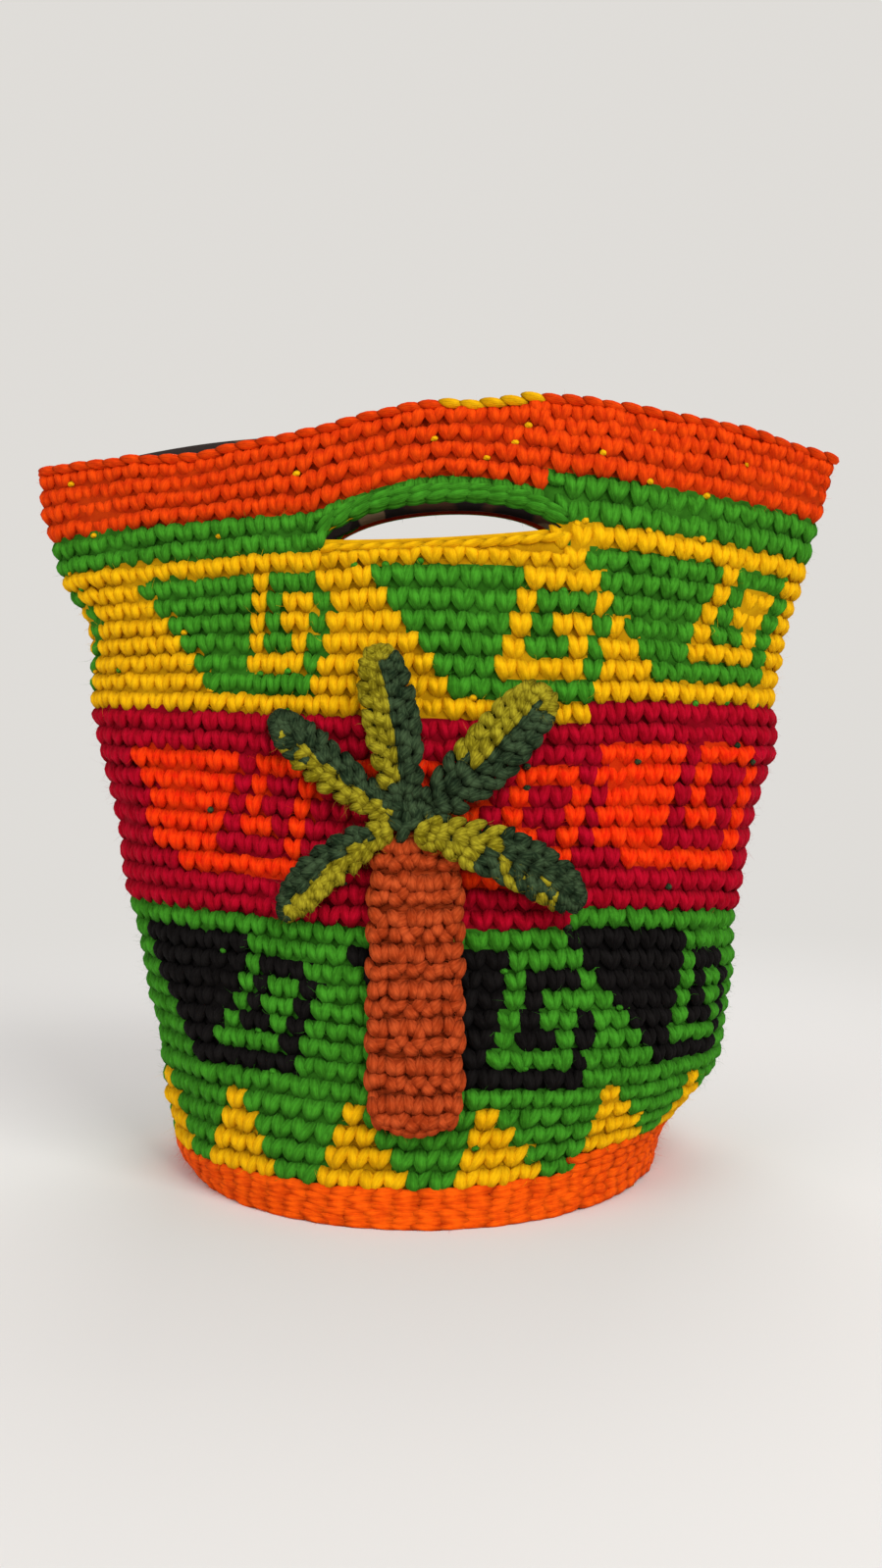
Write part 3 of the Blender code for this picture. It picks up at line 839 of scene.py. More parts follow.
@dataclass
class CrochetShell:
    """The one crocheted fabric: base, side, rim and slot edges, stitch by stitch."""

    shape: BagShape
    leg: bpy.types.Object
    half_length: float = 0.62
    half_width: float = 0.00200
    half_depth: float = 0.00170
    foot_gap: float = 0.06
    top_gap: float = 0.36
    dip: float = 0.0011
    tilt: float = 0.0004
    crest: float = -0.0014
    core_out: float = -0.0022
    core_in: float = -0.0048
    # Painted shade on the backing, which darkens its yarns as the shade between the stitches.
    core_painted_shade: float = 0.55
    # The backing's floor: how far in its underside and its upper side end, and their heights.
    base_out: float = -0.002
    base_in: float = -0.008
    base_under: float = 0.0014
    base_over: float = 0.0042
    stitch_width: float = 0.0059
    middle: float = 0.47
    leg_taper: float = 0.26
    start: float = 0.1
    slot_row: int = 33
    # How much of a leg's length stays over the slot and under it.
    room_over: float = 0.35
    room_under: float = 0.45
    seam: float = 0.4
    stagger: float = 0.035
    size_spread: float = 0.06
    # The worn edge of the base: heights of its strands in a round, and the lie and size of their grains.
    worn_rounds: int = 2
    worn_heights: tuple[float, ...] = (0.20, 0.54, 0.88)
    worn_lean: float = 0.09
    worn_half_width: float = 0.34
    worn_half_length: float = 0.86
    worn_radius: float = 0.0012
    worn_out: float = -0.0010
    worn_fibres: int = 3
    fleck_half_length: float = 0.17
    fleck_half_width: float = 0.20
    fleck_radius: float = 0.0008
    fleck_out: float = -0.0011
    # The rim's chain: how many stitches of it are yellow, how its end climbs on its start, and the
    # distance outwards and the tilt of its two strands.
    rim_yellow: float = 5.2
    rim_blend: float = 3.0
    rim_climb: float = 0.3
    rim_strands: tuple[tuple[float, float], ...] = ((-0.0008, 0.9), (-0.0032, -0.9))
    rim_radius: float = 0.0018
    # The slots' strands: distance outwards, and distance from the edge.
    slot_strands: tuple[tuple[float, float], ...] = (
        (-0.0009, 0.0022), (-0.0026, 0.0015), (-0.0042, 0.0015), (-0.0009, 0.0042))
    slot_pitch: float = 0.0062
    slot_radius: float = 0.00150
    # The underside's spiral: its pitch, and the half width, lean and relief of its grains.
    base_pitch: float = 0.0060
    base_half_width: float = 0.00165
    base_lean: float = 0.0006
    base_relief: float = 0.0013
    fibres: int = 7
    seed: int = 7

    def yarn_of(self, band: Band, row: int, column: int, after: bool) -> Yarn:
        """Yarn of one stitch from the band's rules.

        Args:
            band: the band that the round is in.
            row: the round.
            column: the stitch's own column.
            after: whether it is in the end of the round, right of where rounds start.

        Returns:
            The yarn.
        """
        if band.name == "crochet_triangles":
            level = row - band.first
            if level > TRIANGLE_WIDTH - 1:
                return band.ground
            phase = (column - TRIANGLE_START) % TRIANGLE_PERIOD
            return band.figure if phase < TRIANGLE_WIDTH - level else band.ground
        if band.name == "crochet_rim":
            return band.figure if row < RIM_TURNS_ORANGE else band.ground
        if band.motif_top < 0 or row > band.motif_top + int(band.wide_top):
            return band.ground
        level = band.motif_top - row
        if level >= len(band.wedge):
            return band.ground
        jog = float(self.shape.jog(row + 0.5))
        half = self.shape.stitches // 2
        for bar in band.bars:
            offset = (column - bar + half) % self.shape.stitches - half
            beyond = (self.start + bar + self.shape.lean * row - jog + half) % self.shape.stitches - half
            cut_off = -half / 3 < beyond < 0 if after else 0 < beyond < half / 3
            if not cut_off and KeyMotif(band.wedge, bar == band.late_bar).holds(level, offset):
                return band.figure
        return band.ground

    def beside_slot(self, row: int, places: np.ndarray) -> np.ndarray:
        """Which stitches of a round are within the width of a hand slot.

        Args:
            row: the round.
            places: middles of its stitches.

        Returns:
            Whether each one is.
        """
        middles = self.shape.at(self.shape.spiral(np.full(len(places), row + 0.5), places), places)
        across = (middles[:, 0] - self.shape.slot_centre) / (self.shape.slot_length / 2)
        return np.abs(across) < 1.0

    def lay_stitches(self, pile: YarnPile, band: Band, random: np.random.Generator) -> None:
        """Lay both legs of every stitch in a band.

        Args:
            pile: the pile to add them to.
            band: the band.
            random: source of the small differences.
        """
        for row in range(band.first, band.last + 1):
            columns, places, pitch = self.row_places(row)
            beside = self.beside_slot(row, places)
            room = (np.where(beside & (row == self.slot_row + 1), self.room_over, 1.0),
                    np.where(beside & (row == self.slot_row - 1), self.room_under, 1.0))
            for after in (False, True):
                chosen = places > self.round_end(row) if after else places <= self.shape.jog(row + 0.5)
                if row == self.slot_row:
                    chosen = chosen & ~beside
                if row == self.slot_row - 1 and after:
                    chosen = chosen & ~self.beside_slot(row + 1, places)
                yarns = np.array([self.yarn_of(band, row, int(column), after).value for column in columns])
                if row < self.worn_rounds:
                    self.lay_worn_row(pile, row, places[chosen], pitch[chosen], yarns[chosen], after, random)
                else:
                    self.lay_row(pile, row, places[chosen], pitch[chosen], yarns[chosen], after,
                                 (room[0][chosen], room[1][chosen]), random)
                seam = after & (places < self.shape.jog(row + 0.5) + 0.6)
                clear = chosen & (places < self.shape.stitches / 2) & ~seam
                self.lay_flecks(pile, band, row, places[clear], yarns[clear], random)
                self.lay_fuzz(pile, row, places[clear], yarns[clear], random)

    def row_places(self, row: int) -> tuple[np.ndarray, np.ndarray, np.ndarray]:
        """Spread the stitches of a round.

        Args:
            row: the round.

        Returns:
            The stitches' columns, middles, and widths as shares of the usual width.
        """
        half = self.shape.stitches // 2
        columns = np.arange(self.shape.stitches) - half
        wrapped = np.mod(self.start + columns + self.shape.lean * row + half, 2 * half) - half
        ahead = self.shape.drift(row, wrapped + 0.5) - self.shape.drift(row, wrapped - 0.5)
        return columns, wrapped + self.shape.drift(row, wrapped), np.clip(1.0 + ahead, 0.8, 1.25)

    def round_end(self, row: int) -> float:
        """Place where a round ends, against the first stitch of the next round."""
        following = self.row_places(row + 1)[1]
        return float(following[following <= self.shape.jog(row + 1.5)].max()) + self.seam

    def lay_row(self, pile: YarnPile, row: int, places: np.ndarray, pitch: np.ndarray, yarns: np.ndarray,
                after: bool, room: tuple[np.ndarray, np.ndarray], random: np.random.Generator) -> None:
        """Lay the two legs of each stitch, which meet at the bottom like a V.

        Args:
            pile: the pile to add them to.
            row: the round.
            places: middles of the stitches.
            pitch: widths of the stitches, as shares of the usual width.
            yarns: material numbers.
            after: whether these stitches are the end of the round.
            room: how long the lower and the upper half of each leg may be, as shares.
            random: source of the small differences.
        """
        shape = self.shape
        template = pile.template
        height = template[None, :, 2]
        count = len(places)
        for strand in Strand:
            side = strand.value
            rise = row + self.middle + random.normal(0, self.stagger, count)
            size = random.normal(1.0, self.size_spread, count)
            jog = shape.jog(rise)
            bounded = np.maximum(places, jog + 0.01) if after else np.minimum(places, jog - 0.01)
            level = shape.spiral(rise, bounded)
            offset = side * (self.foot_gap + (self.top_gap - self.foot_gap) * (height + 1.0) / 2.0)
            shift, slant = random.normal(0, 0.03, count), random.normal(0, 0.03, count)
            offset = offset + shift[:, None] + slant[:, None] * height
            taper = 1.0 + self.leg_taper * height
            spread = template[None, :, 0] * taper * (self.half_width / self.stitch_width) * size[:, None]
            place = places[:, None] + (offset + spread) * pitch[:, None]
            along = height * self.half_length * random.normal(1.0, 0.04, count)[:, None]
            along = along * np.where(height < 0.0, room[0][:, None], room[1][:, None])
            out = (template[None, :, 1] * -self.half_depth * taper * size[:, None] + self.crest
                   - self.dip * height**2 - self.tilt * height + random.normal(0, 0.00022, count)[:, None])
            level = np.where(rise[:, None] + along < 0.0, 0.0, level[:, None] + along)
            pile.add(shape.at(level, place, out), yarns)

    def lay_worn_row(self, pile: YarnPile, row: int, places: np.ndarray, pitch: np.ndarray,
                     yarns: np.ndarray, after: bool, random: np.random.Generator) -> None:
        """Lay a round of the base's edge, where the yarn lies along the round.

        Args:
            pile: the pile to add to.
            row: the round.
            places: middles of the stitches.
            pitch: widths of the stitches, as shares of the usual width.
            yarns: material numbers.
            after: whether these stitches are the end of the round.
            random: source of the small differences.
        """
        shape = self.shape
        template = pile.template
        count = len(places)
        for share in self.worn_heights:
            rise = row + share + random.normal(0, self.stagger, count)
            jog = shape.jog(rise)
            bounded = np.maximum(places, jog + 0.01) if after else np.minimum(places, jog - 0.01)
            lean = random.choice([-self.worn_lean, self.worn_lean], count)[:, None] * template[None, :, 2]
            level = shape.spiral(rise, bounded)[:, None] + template[None, :, 0] * self.worn_half_width + lean
            place = places + random.uniform(-0.2, 0.2, count)
            place = place[:, None] + template[None, :, 2] * self.worn_half_length * pitch[:, None]
            out = template[None, :, 1] * -self.worn_radius + self.worn_out
            out = out + random.normal(0, 0.00012, count)[:, None]
            pile.add(shape.at(np.maximum(level, 0.0), place, out), yarns)

    def lay_flecks(self, pile: YarnPile, band: Band, row: int, places: np.ndarray,
                   yarns: np.ndarray, random: np.random.Generator) -> None:
        """Let small bits of the carried yarn show in the groove under some stitches.

        Args:
            pile: the pile to add them to.
            band: the band that the round is in.
            row: the round.
            places: middles of the stitches.
            yarns: material numbers of the stitches.
            random: source of the small differences.
        """
        chosen = random.random(len(places)) < band.fleck_share * 1.6
        if not chosen.any():
            return
        template = pile.template
        places = places[chosen] + random.uniform(-0.5, 0.5, chosen.sum())
        colours = np.where(yarns[chosen] == band.fleck.value, band.ground.value, band.fleck.value)
        rise = row + random.uniform(-0.10, 0.14, chosen.sum())
        level = self.shape.spiral(rise, places)[:, None] + template[None, :, 2] * self.fleck_half_length
        place = places[:, None] + template[None, :, 0] * self.fleck_half_width
        out = template[None, :, 1] * -self.fleck_radius + self.fleck_out
        pile.add(self.shape.at(np.maximum(level, 0.0), place, out), colours)

    def lay_fuzz(self, pile: YarnPile, row: int, places: np.ndarray, yarns: np.ndarray,
                 random: np.random.Generator) -> None:
        """Scatter loose fibres over a round, in the yarn that they come from.

        Args:
            pile: the pile to add them to.
            row: the round.
            places: middles of the stitches.
            yarns: material numbers of the stitches.
            random: source of the small differences.
        """
        fibres = self.fibres * (self.worn_fibres if row < self.worn_rounds else 1)
        for number in np.unique(yarns):
            mine = places[yarns == number]
            mine = np.repeat(mine, fibres) + random.uniform(-0.5, 0.5, len(mine) * fibres)
            rise = row + random.uniform(0.1, 0.9, len(mine))
            level = self.shape.spiral(rise, mine)
            roots = self.shape.at(level, mine, -0.0003)
            outward = self.shape.at(level, mine, 0.0097) - roots
            outward /= np.linalg.norm(outward, axis=1, keepdims=True)
            pile.add_fibres(roots, outward, Yarn(int(number)), random)

    def build_bands(self) -> list[bpy.types.Object]:
        """Build every band of the side.

        Returns:
            The bands, from the base up.
        """
        made = []
        for index, band in enumerate(BANDS):
            random = np.random.default_rng(self.seed + index)
            pile = YarnPile(self.leg)
            self.lay_stitches(pile, band, random)
            if band.name == "crochet_rim":
                self.lay_rim_chain(pile, random)
                self.lay_slot_edge(pile, random, upper=True)
            if band.name == "crochet_upper_keys":
                self.lay_slot_edge(pile, random, upper=False)
            if band.name == "crochet_base_edge":
                self.lay_underside(pile, random)
            made.append(pile.build(band.name, floor_level=0.00005))
            log.info("band %s: %d grains of yarn", band.name, sum(len(part) for part in pile.points))
        return made

    def lay_rim_chain(self, pile: YarnPile, random: np.random.Generator) -> None:
        """Lay the chain of loops that finishes the rim.

        Args:
            pile: the pile to add them to.
            random: source of the small differences.
        """
        shape = self.shape
        template = pile.template
        jog = float(shape.jog(shape.rounds))
        wrapped = jog - 0.5 - np.arange(shape.stitches)
        yarns = np.where(wrapped > jog - self.rim_yellow, Yarn.YELLOW.value, Yarn.ORANGE.value)
        near = np.clip(1.0 - (jog - wrapped) / self.rim_blend, 0.0, 1.0)
        level = shape.spiral(np.full(len(wrapped), float(shape.rounds)), wrapped) + self.rim_climb * near**2
        for start, tilt in self.rim_strands:
            along = template[None, :, 2] * 0.72
            out = start - tilt * 0.0007 * template[None, :, 2] + template[None, :, 0] * self.rim_radius
            points = shape.at(level[:, None], wrapped[:, None] + along, out)
            lift = 0.0001 + template[None, :, 1] * 0.0016 - 0.0005 * template[None, :, 2]
            points[:, :, 2] += lift + random.normal(0, 0.0002, len(wrapped))[:, None]
            pile.add(points, yarns)

    def lay_strand(self, pile: YarnPile, path: np.ndarray, side: np.ndarray, yarn: Yarn, pitch: float,
                   radius: float, tilt: float, random: np.random.Generator) -> None:
        """Lay grains of yarn head to tail along a path, as a twisted strand.

        Args:
            pile: the pile to add them to.
            path: points of the path.
            side: unit vectors across the path, one for each point.
            yarn: the strand's yarn.
            pitch: distance from one grain to the next.
            radius: radius of a grain.
            tilt: how far a grain leans across the path.
            random: source of the small differences.
        """
        arc = np.concatenate([[0.0], np.cumsum(np.linalg.norm(np.diff(path, axis=0), axis=1))])
        count = max(int(round(arc[-1] / pitch)), 2)
        stops = (np.arange(count) + 0.5) * arc[-1] / count

        def sample(values: np.ndarray, where: np.ndarray) -> np.ndarray:
            """Read the values at distances along the path."""
            return np.stack([np.interp(where, arc, values[:, axis]) for axis in range(3)], axis=1)

        middles = sample(path, stops)
        ahead = sample(path, stops + pitch * 0.4) - sample(path, stops - pitch * 0.4)
        ahead /= np.linalg.norm(ahead, axis=1, keepdims=True)
        across = sample(side, stops)
        across -= ahead * np.sum(across * ahead, axis=1, keepdims=True)
        across /= np.linalg.norm(across, axis=1, keepdims=True)
        third = np.cross(ahead, across)
        ahead = ahead + across * (tilt + random.normal(0, 0.04, (count, 1)))
        template = pile.template
        points = (middles[:, None, :] + ahead[:, None, :] * template[None, :, 2:3] * pitch * 0.78
                  + across[:, None, :] * template[None, :, 0:1] * radius
                  + third[:, None, :] * template[None, :, 1:2] * radius)
        pile.add(points, np.full(count, yarn.value))

    def lay_slot_edge(self, pile: YarnPile, random: np.random.Generator, upper: bool) -> None:
        """Lay the smooth strands that finish a slot's edge, on the front and on the back.

        Args:
            pile: the pile to add them to.
            random: source of the small differences.
            upper: whether it is the upper edge, or the lower one.
        """
        shape = self.shape
        across = np.linspace(-1.0, 1.0, 60)
        lower_z, upper_z = shape.slot_edges(across)
        x = shape.slot_centre + across * shape.slot_length / 2
        front_y = shape.front(x, np.full_like(x, shape.slot_bottom + 0.004))
        yarn = Yarn.GREEN if upper else Yarn.YELLOW
        # The lower edge goes without the last strand, which lies beyond the upper one.
        strands = self.slot_strands if upper else self.slot_strands[:-1]
        for facing in (-1.0, 1.0):
            for out, away in strands:
                edge = upper_z + away if upper else lower_z - away
                edge = edge + (shape.slot_back_lift if facing > 0 else 0.0)
                y = facing * (-front_y + out)
                path = np.stack([x, y, edge], axis=1)
                side = np.tile([0.0, 0.0, 1.0], (len(x), 1))
                tilt = 0.13 if upper else 0.16
                self.lay_strand(pile, path, side, yarn, self.slot_pitch, self.slot_radius, tilt, random)

    def lay_underside(self, pile: YarnPile, random: np.random.Generator) -> None:
        """Lay the flat spiral of the base from its centre out to the edge.

        Args:
            pile: the pile to add them to.
            random: source of the small differences.
        """
        template = pile.template
        pitch = self.base_pitch
        rounds = int(self.shape.base_radius / pitch)
        for number in range(1, rounds):
            count = 6 * number + 2
            for strand in Strand:
                angles = (np.arange(count) + strand.value * 0.25) * 2 * math.pi / count + 0.35 * number
                angles = angles[:, None] + template[None, :, 0] * self.base_half_width / (number * pitch)
                angles = angles - strand.value * template[None, :, 2] * self.base_lean / (number * pitch)
                radius = (number - 0.5) * pitch + template[None, :, 2] * pitch * 0.62
                height = self.base_relief + template[None, :, 1] * self.base_relief
                radius = radius + random.normal(0, 0.0001, (count, 1))
                points = np.stack([radius * np.sin(angles), -radius * np.cos(angles),
                                   height + np.zeros_like(radius)], axis=2)
                pile.add(points, np.full(count, Yarn.LIT_BASE_ORANGE.value))

    def build_core(self, cutter: bpy.types.Object) -> bpy.types.Object:
        """Build the closed backing of the fabric, which fills the gaps between the stitches, its yarns
        darkened with painted shade.

        Args:
            cutter: the bar that cuts the slots.

        Returns:
            The backing.
        """
        shape = self.shape
        columns = shape.stitches * 2
        places = np.arange(columns) / 2.0 - shape.stitches / 2
        levels = np.arange(0.5, shape.rounds + 0.01, 0.5)
        rings = [flat_ring(shape.ring(0.0, columns, self.base_out), scale, self.base_under)
                 for scale in (0.02, 0.5, 1.0)]
        rings += [shape.ring(level, columns, self.core_out) for level in levels]
        rings += [shape.ring(level, columns, self.core_in) for level in levels[::-2][:-2]]
        rings += [flat_ring(shape.ring(0.0, columns, self.base_in), scale, self.base_over)
                  for scale in (1.0, 0.5, 0.02)]
        ring_levels = [0.0, 0.0, 0.0] + list(levels)
        # The cut faces in the slots take the first material, so that is the green of their edge.
        used = sorted(Yarn, key=lambda yarn: yarn is not Yarn.GREEN)

        def paint(index: int, column: int) -> int:
            """Material number of one face."""
            level = ring_levels[index] if index < len(ring_levels) else shape.rounds - 1
            return used.index(self.core_yarn(level, places[column]))

        core = shell_object("crochet_backing", rings, paint, self.core_painted_shade)
        for yarn in used:
            core.data.materials.append(yarn_material(yarn))
        cut(core, cutter)
        return core

    def core_yarn(self, level: float, place: float) -> Yarn:
        """Yarn behind a place on the spiral.

        Args:
            level: level in rounds.
            place: stitches to the right of the front centre.

        Returns:
            The yarn.
        """
        shape = self.shape
        jog = float(shape.jog(level))
        turn = (jog - place) % shape.stitches / shape.stitches
        row = int(max(level - turn * min(level / 2.0, 1.0) + 0.25, 0.0))
        below_slot = row == self.slot_row and level - turn < row + 0.4
        if below_slot and self.beside_slot(row, np.array([place]))[0]:
            row -= 1
        moved = float(shape.drift(row, np.array(place)))
        column = int(round(place - moved - self.start - shape.lean * row))
        for band in BANDS:
            if band.first <= row <= band.last:
                return self.yarn_of(band, row, column, place > jog)
        return Yarn.ORANGE


def flat_ring(ring: np.ndarray, scale: float, height: float) -> np.ndarray:
    """Shrink a ring towards the middle and lay it at one height."""
    return ring * np.array([scale, scale, 0.0]) + np.array([0.0, 0.0, height])


def object_of(mesh: bmesh.types.BMesh, name: str) -> bpy.types.Object:
    """Turn an edited mesh into an object of the scene.

    Args:
        mesh: the edited mesh, which is freed.
        name: name of the object.

    Returns:
        The new object.
    """
    data = bpy.data.meshes.new(name)
    mesh.to_mesh(data)
    mesh.free()
    made = bpy.data.objects.new(name, data)
    bpy.context.scene.collection.objects.link(made)
    return made


def shell_object(name: str, rings: Sequence[np.ndarray], paint: Callable[[int, int], int] | None = None,
                 painted_shade: float | None = None) -> bpy.types.Object:
    """Join rings of points into one closed, smooth-shaded shell.

    Args:
        name: name of the object.
        rings: rings of equally many points, from one closed end to the other.
        paint: gives a face's material number from its ring and its column.
        painted_shade: how much painted shade darkens all of it, where its material asks for that.

    Returns:
        The new object, with its place in its mesh.
    """
    mesh = bmesh.new()
    layer = mesh.verts.layers.float.new("painted_shade") if painted_shade is not None else None
    rows = [[mesh.verts.new(point) for point in ring] for ring in rings]
    columns = len(rings[0])
    for index, (row, following) in enumerate(zip(rows, rows[1:])):
        for column in range(columns):
            after = (column + 1) % columns
            face = mesh.faces.new((row[column], row[after], following[after], following[column]))
            face.smooth = True
            if paint is not None:
                face.material_index = paint(index, column)
    mesh.faces.new(rows[0][::-1])
    mesh.faces.new(rows[-1])
    if layer is not None:
        for vert in mesh.verts:
            vert[layer] = painted_shade
    bmesh.ops.recalc_face_normals(mesh, faces=mesh.faces)
    if mesh.calc_volume(signed=True) < 0:
        bmesh.ops.reverse_faces(mesh, faces=mesh.faces)
    return object_of(mesh, name)


def slot_cutter(shape: BagShape, margin: float) -> bpy.types.Object:
    """Lens-shaped bar that cuts the front and the back slot in one go.

    Args:
        shape: the bag's surface, which gives the slot's sizes.
        margin: how far the cut runs outside the slot.

    Returns:
        The bar, to be removed after the cuts.
    """
    across = np.linspace(-1.0, 1.0, 25)
    lower, upper = shape.slot_edges(across)
    x = shape.slot_centre + across * (shape.slot_length / 2 + margin)
    outline = list(zip(x, lower - margin)) + list(zip(x, upper + margin))[::-1]
    mesh = bmesh.new()
    reach = shape.base_radius
    slope = shape.slot_back_lift / (2 * shape.slot_wall)
    ring = [mesh.verts.new((px, -reach, pz - slope * (reach - shape.slot_wall))) for px, pz in outline]
    face = mesh.faces.new(ring)
    grown = bmesh.ops.extrude_face_region(mesh, geom=[face])
    for item in grown["geom"]:
        if isinstance(item, bmesh.types.BMVert):
            item.co.y = reach
            item.co.z += slope * 2 * reach
    bmesh.ops.remove_doubles(mesh, verts=mesh.verts, dist=0.00001)
    bmesh.ops.recalc_face_normals(mesh, faces=mesh.faces)
    return object_of(mesh, "slot_cutter")


def cut(target: bpy.types.Object, cutter: bpy.types.Object) -> None:
    """Cut a piece with a Boolean and apply it.

    Args:
        target: the piece to cut.
        cutter: the solid that is taken out of it.
    """
    deselect()
    bpy.context.view_layer.objects.active = target
    target.select_set(True)
    boolean = target.modifiers.new("slots", "BOOLEAN")
    boolean.operation = "DIFFERENCE"
    boolean.solver = "EXACT"
    boolean.object = cutter
    bpy.ops.object.modifier_apply(modifier=boolean.name)


@dataclass
class Lining:
    """Printed cotton liner with soft folds, sewn in under the rim."""

    shape: BagShape
    out: float = -0.0051
    thickness: float = 0.0007
    fold: float = 0.0022
    hem_level: float = 38.95
    floor_in: float = 0.006
    floor_height: float = 0.0052
    # How far the hem stands over the rim at the left of the back.
    peek: float = 0.0058

    def build(self, cutter: bpy.types.Object) -> bpy.types.Object:
        """Build the liner as one thin closed shell, open at the mouth.

        Args:
            cutter: the bar that cuts the slots.

        Returns:
            The liner.
        """
        shape = self.shape
        columns = shape.stitches * 2
        places = np.arange(columns) / 2.0 - shape.stitches / 2
        levels = np.concatenate([np.arange(2.5, self.hem_level, 1.0), [self.hem_level]])

        def folds(level: float) -> np.ndarray:
            """How far the cloth hangs inwards at a level.

            Args:
                level: level in rounds.

            Returns:
                A distance for each column.
            """
            wave = (np.sin(places * 0.61 + level * 0.10) + np.sin(places * 0.27 - level * 0.17 + 1.3)
                    + 0.6 * np.sin(places * 1.13 + level * 0.05 + 0.4))
            calm = 1.0 - 0.75 * smooth_step(level, 34.0, 38.5)
            return self.fold * calm * (wave / 2.6 + 1.0) / 2.0

        def wall(extra: float) -> list[np.ndarray]:
            """Rings of one face of the cloth from the floor up.

            Args:
                extra: how far in from the outer face.

            Returns:
                The rings.
            """
            rings = []
            for level in levels:
                ring = shape.ring(level, columns, self.out - extra - folds(level))
                left_back = (ring[:, 1] > 0) & (ring[:, 0] < 0)
                raised = self.peek * np.sin(math.pi * np.clip(-ring[:, 0] / shape.mouth_left, 0.0, 1.0))
                ring[:, 2] += np.where(left_back, raised, 0.0) * float(smooth_step(level, 36.0, 38.9))
                rings.append(ring)
            foot = shape.ring(0.0, columns, self.out - extra - self.floor_in)
            floor = [flat_ring(foot, scale, self.floor_height + extra) for scale in (0.02, 0.5, 0.98)]
            return floor + rings

        lining = shell_object("printed_lining", wall(0.0) + wall(self.thickness)[::-1])
        lining.data.materials.append(LiningPrint().material())
        cut(lining, cutter)
        return lining


LeafRule = Callable[[float, int], Yarn]


@dataclass(frozen=True)
class Leaf:
    """One leaf: centre line from base to tip as (x, z), width, and which stitches are olive.

    colour takes the share of the way to the tip and the side, -1 on the right hand of the way out.
    """

    name: str
    guide: tuple[tuple[float, float], ...]
    width: float
    lift: float
    colour: LeafRule

    def point(self, t: np.ndarray) -> tuple[np.ndarray, np.ndarray, np.ndarray, np.ndarray]:
        """Place and direction on the centre line.

        Args:
            t: shares of the way to the tip.

        Returns:
            Across positions, heights, and the two parts of the unit vector along the line.
        """
        (ax, az), (bx, bz), (cx, cz), (dx, dz) = self.guide
        s = 1.0 - t
        x = s**3 * ax + 3 * s * s * t * bx + 3 * s * t * t * cx + t**3 * dx
        z = s**3 * az + 3 * s * s * t * bz + 3 * s * t * t * cz + t**3 * dz
        along_x = s * s * (bx - ax) + 2 * s * t * (cx - bx) + t * t * (dx - cx)
        along_z = s * s * (bz - az) + 2 * s * t * (cz - bz) + t * t * (dz - cz)
        length = np.hypot(along_x, along_z)
        return x, z, along_x / length, along_z / length

    def beside(self, t: np.ndarray, across: np.ndarray | float) -> tuple[np.ndarray, np.ndarray, np.ndarray]:
        """Places off the centre line, and its direction there.

        Args:
            t: shares of the way to the tip.
            across: distance to the left hand of the way out.

        Returns:
            Across positions, heights, and the line's angle from upright, clockwise.
        """
        x, z, along_x, along_z = self.point(t)
        return x - along_z * across, z + along_x * across, np.arctan2(along_x, along_z)

    def half(self, t: np.ndarray) -> np.ndarray:
        """Half width along the leaf.

        Args:
            t: shares of the way to the tip.

        Returns:
            The half widths.
        """
        swell = 0.55 + 0.45 * np.sin(np.minimum(t / 0.45, 1.0) * math.pi / 2)
        tip = np.sqrt(np.maximum(1.0 - (np.maximum(t - 0.55, 0.0) / 0.47) ** 2, 0.04))
        return self.width / 2 * swell * tip


def upper_left_colour(t: float, side: int) -> Yarn:
    """Olive on the lower half, near the base."""
    speck = 0.58 < t < 0.80 and int(t * 50) % 3 == 0
    return Yarn.OLIVE if side > 0 and (t < 0.56 or speck) else Yarn.LEAF_DARK


def top_colour(t: float, side: int) -> Yarn:
    """Olive down the left half and over the tip."""
    return Yarn.OLIVE if (side > 0 and t > 0.12) or t > 0.93 else Yarn.LEAF_DARK


def upper_right_colour(t: float, side: int) -> Yarn:
    """Olive along the upper half and round the tip."""
    return Yarn.OLIVE if (side > 0 and t > 0.28) or t > 0.80 else Yarn.LEAF_DARK


def lower_left_colour(t: float, side: int) -> Yarn:
    """Olive along the lower half."""
    return Yarn.OLIVE if (side > 0 and t < 0.96) or t < 0.12 else Yarn.LEAF_DARK


def lower_right_colour(t: float, side: int) -> Yarn:
    """Olive near the base, dark with a few specks beyond."""
    speck = side < 0 and 0.42 < t < 0.80 and int(t * 50) % 3 == 0
    return Yarn.OLIVE if t < 0.30 or (side > 0 and t < 0.38) or speck else Yarn.LEAF_DARK


LEAVES: tuple[Leaf, ...] = (
    Leaf("palm_leaf_upper_left",
         ((-0.0075, 0.1120), (-0.0230, 0.1215), (-0.0370, 0.1340), (-0.0425, 0.1402)), 0.0130, 0.0016,
         upper_left_colour),
    Leaf("palm_leaf_top",
         ((-0.0045, 0.1130), (-0.0068, 0.1320), (-0.0108, 0.1510), (-0.0126, 0.1600)), 0.0165, 0.0022,
         top_colour),
    Leaf("palm_leaf_upper_right",
         ((0.0005, 0.1120), (0.0180, 0.1255), (0.0310, 0.1410), (0.0362, 0.1482)), 0.0185, 0.0018,
         upper_right_colour),
    Leaf("palm_leaf_lower_left",
         ((-0.0085, 0.1080), (-0.0240, 0.1020), (-0.0350, 0.0910), (-0.0388, 0.0832)), 0.0125, 0.0018,
         lower_left_colour),
    Leaf("palm_leaf_lower_right",
         ((-0.0005, 0.1075), (0.0220, 0.1040), (0.0380, 0.0945), (0.0455, 0.0868)), 0.0155, 0.0036,
         lower_right_colour),
)


